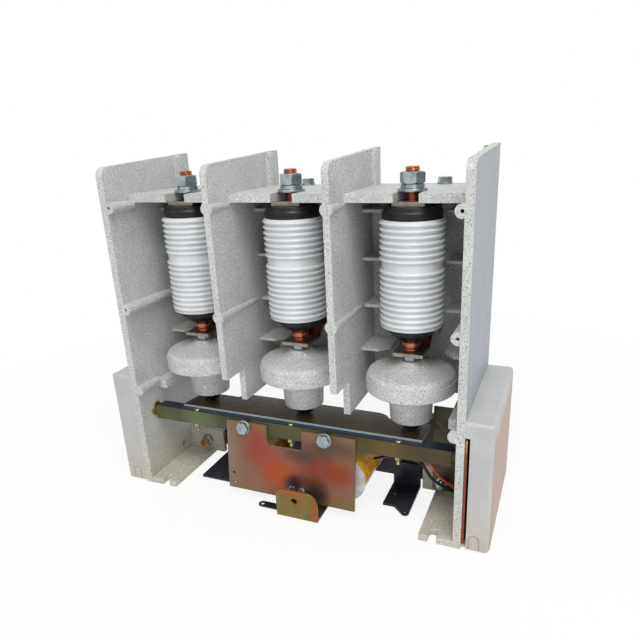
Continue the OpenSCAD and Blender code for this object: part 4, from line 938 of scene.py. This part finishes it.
def soft_spot():
    """Group: an oval mask with a soft, uneven rim."""
    tree, given, result = node_group("soft_spot", "ShaderNodeTree", dict(
        Middle="Vector", Reach="Vector", Unevenness="Float"), dict(Mask="Float"))
    place = object_place(tree)
    away = fed("ShaderNodeVectorMath", {0: place, 1: given["Middle"]}, operation="SUBTRACT").outputs[0]
    away = fed("ShaderNodeVectorMath", {0: away, 1: given["Reach"]}, operation="DIVIDE").outputs[0]
    length = fed("ShaderNodeVectorMath", {0: away}, operation="LENGTH").outputs["Value"]
    rough = calc("SUBTRACT", noise(place, 60.0, 3.0), 0.5)
    length = calc("ADD", length, calc("MULTIPLY", rough, given["Unevenness"]))
    return end_group(tree, result, Mask=between(length, 1.0, 0.15))


spot = soft_spot()


def bloomed(tree, colour, spots, y, depth, unevenness):
    """Lays soft spots over a colour; each has its middle and reach in X and Z, a strength and a tint."""
    for (x, z), (wide, high), strength, tint in spots:
        mask = place_group(tree, spot, Middle=(x, y, z), Reach=(wide, depth, high), Unevenness=unevenness)
        share = calc("MULTIPLY", mask["Mask"], strength)
        colour = blend(share, colour, srgb(*tint))
    return colour


def armature_material():
    material, tree = new_material("passivated_armature", metallic=0.5)
    look = film_look(tree, 17.0, 0.0)
    colour = blend(0.8, look["Color"], srgb(122, 92, 78))
    colour = bloomed(tree, colour, (
        ((-0.080, 0.050), (0.026, 0.060), 0.6, (138, 128, 120)),
        ((0.006, 0.050), (0.10, 0.062), 0.85, (138, 80, 62)),
        ((-0.040, 0.068), (0.026, 0.036), 0.85, (150, 62, 42)),
        ((-0.026, 0.056), (0.022, 0.026), 0.7, (156, 66, 58)),
        ((-0.013, 0.040), (0.032, 0.030), 0.95, (174, 76, 32)),
        ((0.034, 0.060), (0.030, 0.026), 0.85, (136, 52, 36)),
        ((0.058, 0.052), (0.028, 0.026), 0.9, (140, 58, 20)),
        ((0.016, 0.068), (0.034, 0.017), 0.9, (80, 62, 60)),
        ((0.054, 0.080), (0.048, 0.020), 0.75, (82, 64, 54)),
        ((0.072, 0.014), (0.044, 0.022), 0.8, (116, 100, 50)),
        ((-0.010, 0.088), (0.030, 0.016), 0.7, (102, 98, 66)),
        ((0.086, 0.052), (0.014, 0.070), 0.7, (94, 84, 58)),
        # The last two spots are painted reflections of the stop bracket's dark parts in the glossy plate.
        ((0.004, 0.031), (0.016, 0.014), 0.92, (46, 46, 44)),
        ((0.030, 0.022), (0.024, 0.022), 0.88, (60, 60, 56))), armature_y, armature_spot_depth, 0.5)
    grain = between(noise(object_place(tree), 1100.0, 2.0), 0.3, 0.7, 0.84, 1.0)
    edge = between(calc("ABSOLUTE", facing(tree, drive_back)), 0.9, 0.5)
    colour = blend(edge, dimmed(colour, grain), srgb(150, 134, 92))
    return painted(material, colour, look["Roughness"], look["Thickness"], strength=0.15)


def leaning(mesh):
    """Turns what was drawn about the shaft's axis, as it lies when closed, into the open position."""
    mesh.transform(Matrix.Translation(shaft_axis) @ Matrix.Rotation(lean, 4, "X"))
    return mesh


dress_solid("armature_plate", plate_edge, armature_material(), "armature", "yellow_zinc")
big_head = joined_mesh(
    (turned_to(washer_mesh(m8_washer_bore, m8_washer_r, m8_washer), (0, -1, 0)), (0, 0, 0)),
    (turned_to(hex_mesh(m8_width, big_head_h), (0, -1, 0)), (0, -m8_washer, 0)))
small_head = turned_to(hex_mesh(small_width, small_head_h), (0, -1, 0))
bolt_end = turned_to(rod_mesh(m8_r, big_bolt_length, m8_pitch, m8_depth), (0, 1, 0))
bolts = joined_mesh(*[(big_head, (x, plate_face, 0)) for x in big_bolt_x],
                    *[(bolt_end, (x, plate_face - bolt_sink, 0)) for x in big_bolt_x],
                    *[(small_head, (x, plate_face, small_bolt_z)) for x in small_bolt_x])
dress(linked("armature_bolts_hex", leaning(bolts)), zinc, "armature", "zinc", "armature_bolts")
screw = joined_mesh(
    (rod_mesh(screw_r, screw_length, screw_pitch, screw_depth), (0, 0, screw_foot)),
    (revolve(rounded(screw_head_profile, 3), 24), (0, 0, screw_top)),
    (hex_mesh(small_width, screw_nut_h, screw_bore, True), (0, 0, screw_nut_z)))
olive = metal_material("olive_passivated", (170, 162, 124), (116, 106, 70), 120.0, 0.6, 0.28, 0.45)
screws = joined_mesh(*[(screw, (x, screw_y, 0)) for x in screw_x])
dress(linked("shaft_screws_threaded", leaning(screws)), olive, "armature", "zinc", "shaft_screws")


# Magnet: two coils bound with golden-yellow tape between pale end flanges on iron cores, bolted to a dark
# steel yoke. An orange and a black lead run from the right coil to the hole in the right wall. Their
# routes' points are in millimetres, from the middle, the walls' fronts and the floor.
tape_pitch, tape_step = 0.0052, 0.00045
flange_edge, core_edge, base_edge, lead_r = 0.0005, 0.0006, 0.0005, 0.0016
lead_routes = (
    ((75, 62, 59.3), (79, 62, 64), (92, 61, 69.5), (112, 57, 71.5), (130, 52.5, 69.5), (142, 50, 66),
     (150, 50, 60), (157, 50, 51), (164, 51, 43), (171, 55, 36), (177, 62, 27), (182, 68, 21),
     (185, 70, 19.7), (190, 70, 19.7)),
    ((83, 62, 48), (88, 62, 49.8), (102, 60.5, 56), (118, 57, 60), (132, 53, 60.5), (141, 50.5, 57.5),
     (146, 50, 51), (150, 50, 44.5), (157, 50.5, 38.5), (165, 53, 33), (172, 59, 26), (178, 65, 20),
     (182, 68.5, 17.2), (185, 70, 16.3), (190, 70, 16.3)))


def wound_tree():
    """Tree: a drum along Y whose surface steps like overlapping turns of tape."""
    tree, given, result = geometry_tree("wound_tape", radius="Float", length="Float", pitch="Float",
                                        step="Float")
    axes = surface_axes(tree)
    lap = calc("POWER", calc("FRACT", winding(axes, given["pitch"])), 2.5)
    drum = cylinder(96, 150, given["radius"], given["length"])
    drum = cut_in(drum, axes, lap, given["step"], given["radius"])
    laid = fed("GeometryNodeTransform", {"Geometry": drum, "Rotation": (math.pi / 2, 0, 0)}).outputs[0]
    return end_group(tree, result, geometry=laid)


def tape_material():
    material, tree = new_material("yellow_winding_tape", 0.3, Coat_Weight=0.3, Coat_Roughness=0.2)
    clouds = noise(stretched_place(tree, (1, 3, 1)), 60.0, 4.0)
    laps = calc("FRACT", calc("DIVIDE", object_axis(tree, "Y"), tape_pitch / 2))
    colour = blend(between(clouds, 0.3, 0.7), srgb(206, 140, 8), srgb(244, 196, 34))
    colour = blend(between(laps, 0.86, 1.0, 0.0, 0.5), colour, srgb(168, 100, 6))
    return painted(material, colour, between(clouds, 0.3, 0.7, 0.24, 0.4), laps, 0.0002)


def flange_material():
    material, tree = new_material("pale_coil_flange", 0.5)
    place = object_place(tree)
    stain = between(noise(place, 90.0, 4.0), 0.4, 0.75)
    colour = blend(stain, srgb(214, 212, 214), srgb(178, 174, 168))
    return painted(material, colour, height=noise(place, 700.0, 2.0))


def lead_material(name, colour, worn):
    material, tree = new_material(name, 0.35)
    streak = between(noise(object_place(tree), 140.0, 3.0), 0.35, 0.75)
    rough = between(streak, 0.0, 1.0, 0.28, 0.45)
    return painted(material, blend(streak, srgb(*colour), srgb(*worn)), rough)


def lead_piece(name, route, material):
    """A smooth round lead through the route's points."""
    curve = bpy.data.curves.new(name, "CURVE")
    curve.dimensions, curve.bevel_depth, curve.bevel_resolution = "3D", lead_r, 5
    curve.resolution_u, curve.use_fill_caps = 8, True
    spline = curve.splines.new("BEZIER")
    spline.bezier_points.add(len(route) - 1)
    for point, (x, y, z) in zip(spline.bezier_points, route):
        point.co = (x / 1000, y / 1000 + front_y, z / 1000)
        point.handle_left_type = point.handle_right_type = "AUTO"
    piece = linked(name, curve)
    mesh = bpy.data.meshes.new_from_object(piece.evaluated_get(bpy.context.evaluated_depsgraph_get()))
    bpy.data.objects.remove(piece)
    return dress(linked(name, mesh), material, "frame", "lead_insulation", "coil_leads")


wound_tape, tape = wound_tree(), tape_material()
dark_steel = metal_material("blue_black_steel", (50, 52, 62), (28, 27, 30), 60.0, 0.9, 0.3, 0.55,
                            metallic=0.6, depth=0.00006, strength=0.5)
coil_low, coil_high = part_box("coils")
coil_middle = (coil_low + coil_high) / 2
coil_r = (coil_high.z - coil_low.z) / 2
coil_x = coil_high.x - coil_r
drum = grown_mesh(wound_tape, 60, radius=coil_r, length=coil_high.y - coil_low.y, pitch=tape_pitch,
                  step=tape_step)
coils = joined_mesh(*[(drum, (x, coil_middle.y, coil_middle.z)) for x in (-coil_x, coil_x)])
dress(linked("coils_wound", coils), tape, "frame", "coil_tape", "coils")
dress_solid("coil_flanges", flange_edge, flange_material(), "frame", "coil_flange")
for node, edge in (("pole_cores", core_edge), ("magnet_yoke", core_edge), ("base_plates", base_edge)):
    dress_solid(node, edge, dark_steel, "frame", "dark_steel")
lead_piece("orange_lead", lead_routes[0], lead_material("orange_lead", (196, 84, 24), (150, 52, 20)))
lead_piece("black_lead", lead_routes[1], lead_material("black_lead", (24, 23, 24), (44, 40, 40)))


# Yoke bolts: M8 rods that hold the yoke to the pads of the foot rails between zinc nuts. The left rod is
# bronze; the right one is zinc plated, and the switch bracket lies under its nut.
yoke_low, yoke_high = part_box("yoke_bolts")
yoke_bolt_x, yoke_bolt_z = 0.156, (yoke_low.z + yoke_high.z) / 2
rod_reach, rod_tail, yoke_nut_h, yoke_nut_bore, pad_thickness = 0.008, 0.001, 0.0064, 0.0038, 0.006
yoke_front, yoke_back = (corner.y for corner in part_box("magnet_yoke"))
yoke_nut = turned_to(hex_mesh(m8_width, yoke_nut_h, yoke_nut_bore, True), (0, 1, 0))
bronze = metal_material("bronze_rod", (172, 132, 84), (104, 74, 50), 150.0, 0.6, 0.25, 0.45)
for side, x, seat, finish in (("left", -yoke_bolt_x, yoke_front - pad_thickness, bronze),
                              ("right", yoke_bolt_x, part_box("switch_bracket")[0].y, zinc)):
    nut_y = seat - yoke_nut_h
    rod_y = nut_y - rod_reach
    rod = turned_to(rod_mesh(m8_r, yoke_back + rod_tail - rod_y, m8_pitch, m8_depth), (0, 1, 0))
    nuts = joined_mesh((yoke_nut, (x, nut_y, yoke_bolt_z)), (yoke_nut, (x, yoke_back, yoke_bolt_z)))
    rod_piece = linked(side + "_yoke_bolt", moved(rod, (x, rod_y, yoke_bolt_z)))
    dress(rod_piece, finish, "frame", "zinc", "yoke_bolts")
    dress(linked(side + "_yoke_nuts", nuts), zinc, "frame", "zinc", "yoke_bolts")


# Auxiliary switch: a black moulded block held behind an upright sheet beside the right wall. The sheet is
# passivated like the drive, but dull and dark.
sheet_edge, switch_edge = 0.0004, 0.0008


def switch_material():
    material, tree = new_material("black_switch_plastic", 0.45)
    place = object_place(tree)
    dust_and_low_tint = between(noise(place, 180.0, 4.0, 0.65), 0.45, 0.8)
    colour = blend(dust_and_low_tint, srgb(24, 24, 26), srgb(48, 47, 47))
    return painted(material, colour, height=noise(place, 900.0, 2.0))


dull_zinc = metal_material("dull_passivated_sheet", (98, 92, 76), (56, 54, 46), 40.0, 0.8, 0.4, 0.55)
dress_solid("switch_bracket", sheet_edge, dull_zinc, "frame", "yellow_zinc")
dress_solid("auxiliary_switch", switch_edge, switch_material(), "frame", "switch_plastic")


# Stop bracket: a bent tab in front of the armature, olive passivated with an orange bloom towards its
# right edge, with painted shade on the leg behind the tab, and a dark latch strip on its foot.
bracket_edge, strip_bevel, tab_face, tab_shade_depth, tab_spot_depth = 0.0005, 0.0004, 0.004, 0.012, 0.02


def bracket_material():
    material, tree = new_material("passivated_bracket", metallic=0.5)
    look = film_look(tree, 30.0, 0.0)
    colour = blend(0.8, look["Color"], srgb(104, 94, 32))
    colour = bloomed(tree, colour, (
        ((0.042, 0.012), (0.016, 0.034), 0.85, (152, 76, 22)),
        ((0.014, 0.033), (0.03, 0.008), 0.75, (152, 84, 28)),
        ((0.018, 0.021), (0.009, 0.008), 0.5, (148, 80, 28))), cad_low.y, tab_spot_depth, 0.3)
    # Painted shade: the leg behind the tab, under the armature, is blended towards a dark brown.
    painted_shade_back = between(object_axis(tree, "Y"), cad_low.y + tab_face, cad_low.y + tab_shade_depth, 0.0, 0.85)
    return painted(material, blend(painted_shade_back, colour, srgb(52, 44, 42)), look["Roughness"])


dress_solid("stop_bracket", bracket_edge, bracket_material(), "frame", "yellow_zinc")
dress_solid("latch_strip", strip_bevel, dark_steel, "frame", "dark_steel")


# The studio: a plain white floor that keeps a soft shadow, a white surround, brighter for what the camera
# and reflections see, and two large soft lamps.
floor_half, lamp_width = 6, 1.2
world_light, world_seen = 0.56, 0.44


def seen_rays(tree):
    """One for rays from the camera and from reflections, and nought for the light that spreads."""
    path = put(tree, "ShaderNodeLightPath").outputs
    bent = calc("MAXIMUM", path["Is Glossy Ray"], path["Is Transmission Ray"])
    return calc("MAXIMUM", path["Is Camera Ray"], bent)


def floor_material():
    """White that glows for what is seen, a little less near the part, where its shadow shows."""
    material, tree = new_material("white_floor", 0.6, Base_Color=srgb(245, 245, 245))
    glow = put(tree, "ShaderNodeEmission", {"Color": (1, 1, 1, 1), "Strength": 1.0}).outputs[0]
    away = fed("ShaderNodeVectorMath", {0: object_place(tree)}, operation="LENGTH").outputs["Value"]
    share = calc("MULTIPLY", seen_rays(tree), between(away, 0.35, 0.8, 0.86, 1.0))
    mix = fed("ShaderNodeMixShader", {0: share, 1: tree.nodes["Principled BSDF"].outputs[0], 2: glow})
    tree.links.new(mix.outputs[0], tree.nodes["Material Output"].inputs["Surface"])
    return material


def soft_lamp(name, place, aim, power, colour):
    lamp = bpy.data.lights.new(name, "AREA")
    lamp.shape, lamp.size, lamp.energy, lamp.color = "DISK", lamp_width, power, colour
    piece = linked(name, lamp)
    piece.matrix_world = (Matrix.Translation(place)
                          @ (Vector(aim) - Vector(place)).to_track_quat("-Z", "Y").to_matrix().to_4x4())


floor_mesh = bpy.data.meshes.new("floor")
floor_corners = [(x * floor_half, y * floor_half, 0) for x, y in ((-1, -1), (1, -1), (1, 1), (-1, 1))]
floor_mesh.from_pydata(floor_corners, [], [(0, 1, 2, 3)])
floor_mesh.materials.append(floor_material())
linked("floor", moved(floor_mesh, (0, 0, cad_low.z)))

world = bpy.data.worlds.new("studio")
scene.world = world
world.use_nodes = True
surround = world.node_tree
background = surround.nodes["Background"].inputs
surround.links.new(calc("MULTIPLY_ADD", seen_rays(surround), world_seen, world_light),
                   background["Strength"])
background["Color"].default_value = (1, 1, 1, 1)

middle = (cad_low + cad_high) / 2
soft_lamp("key", (0.45, -1.0, 2.0), middle, 27, (1.0, 0.99, 0.97))
soft_lamp("fill", (1.2, -1.4, 0.9), middle, 6, (0.93, 0.95, 1.0))

scene.view_settings.view_transform = "Standard"
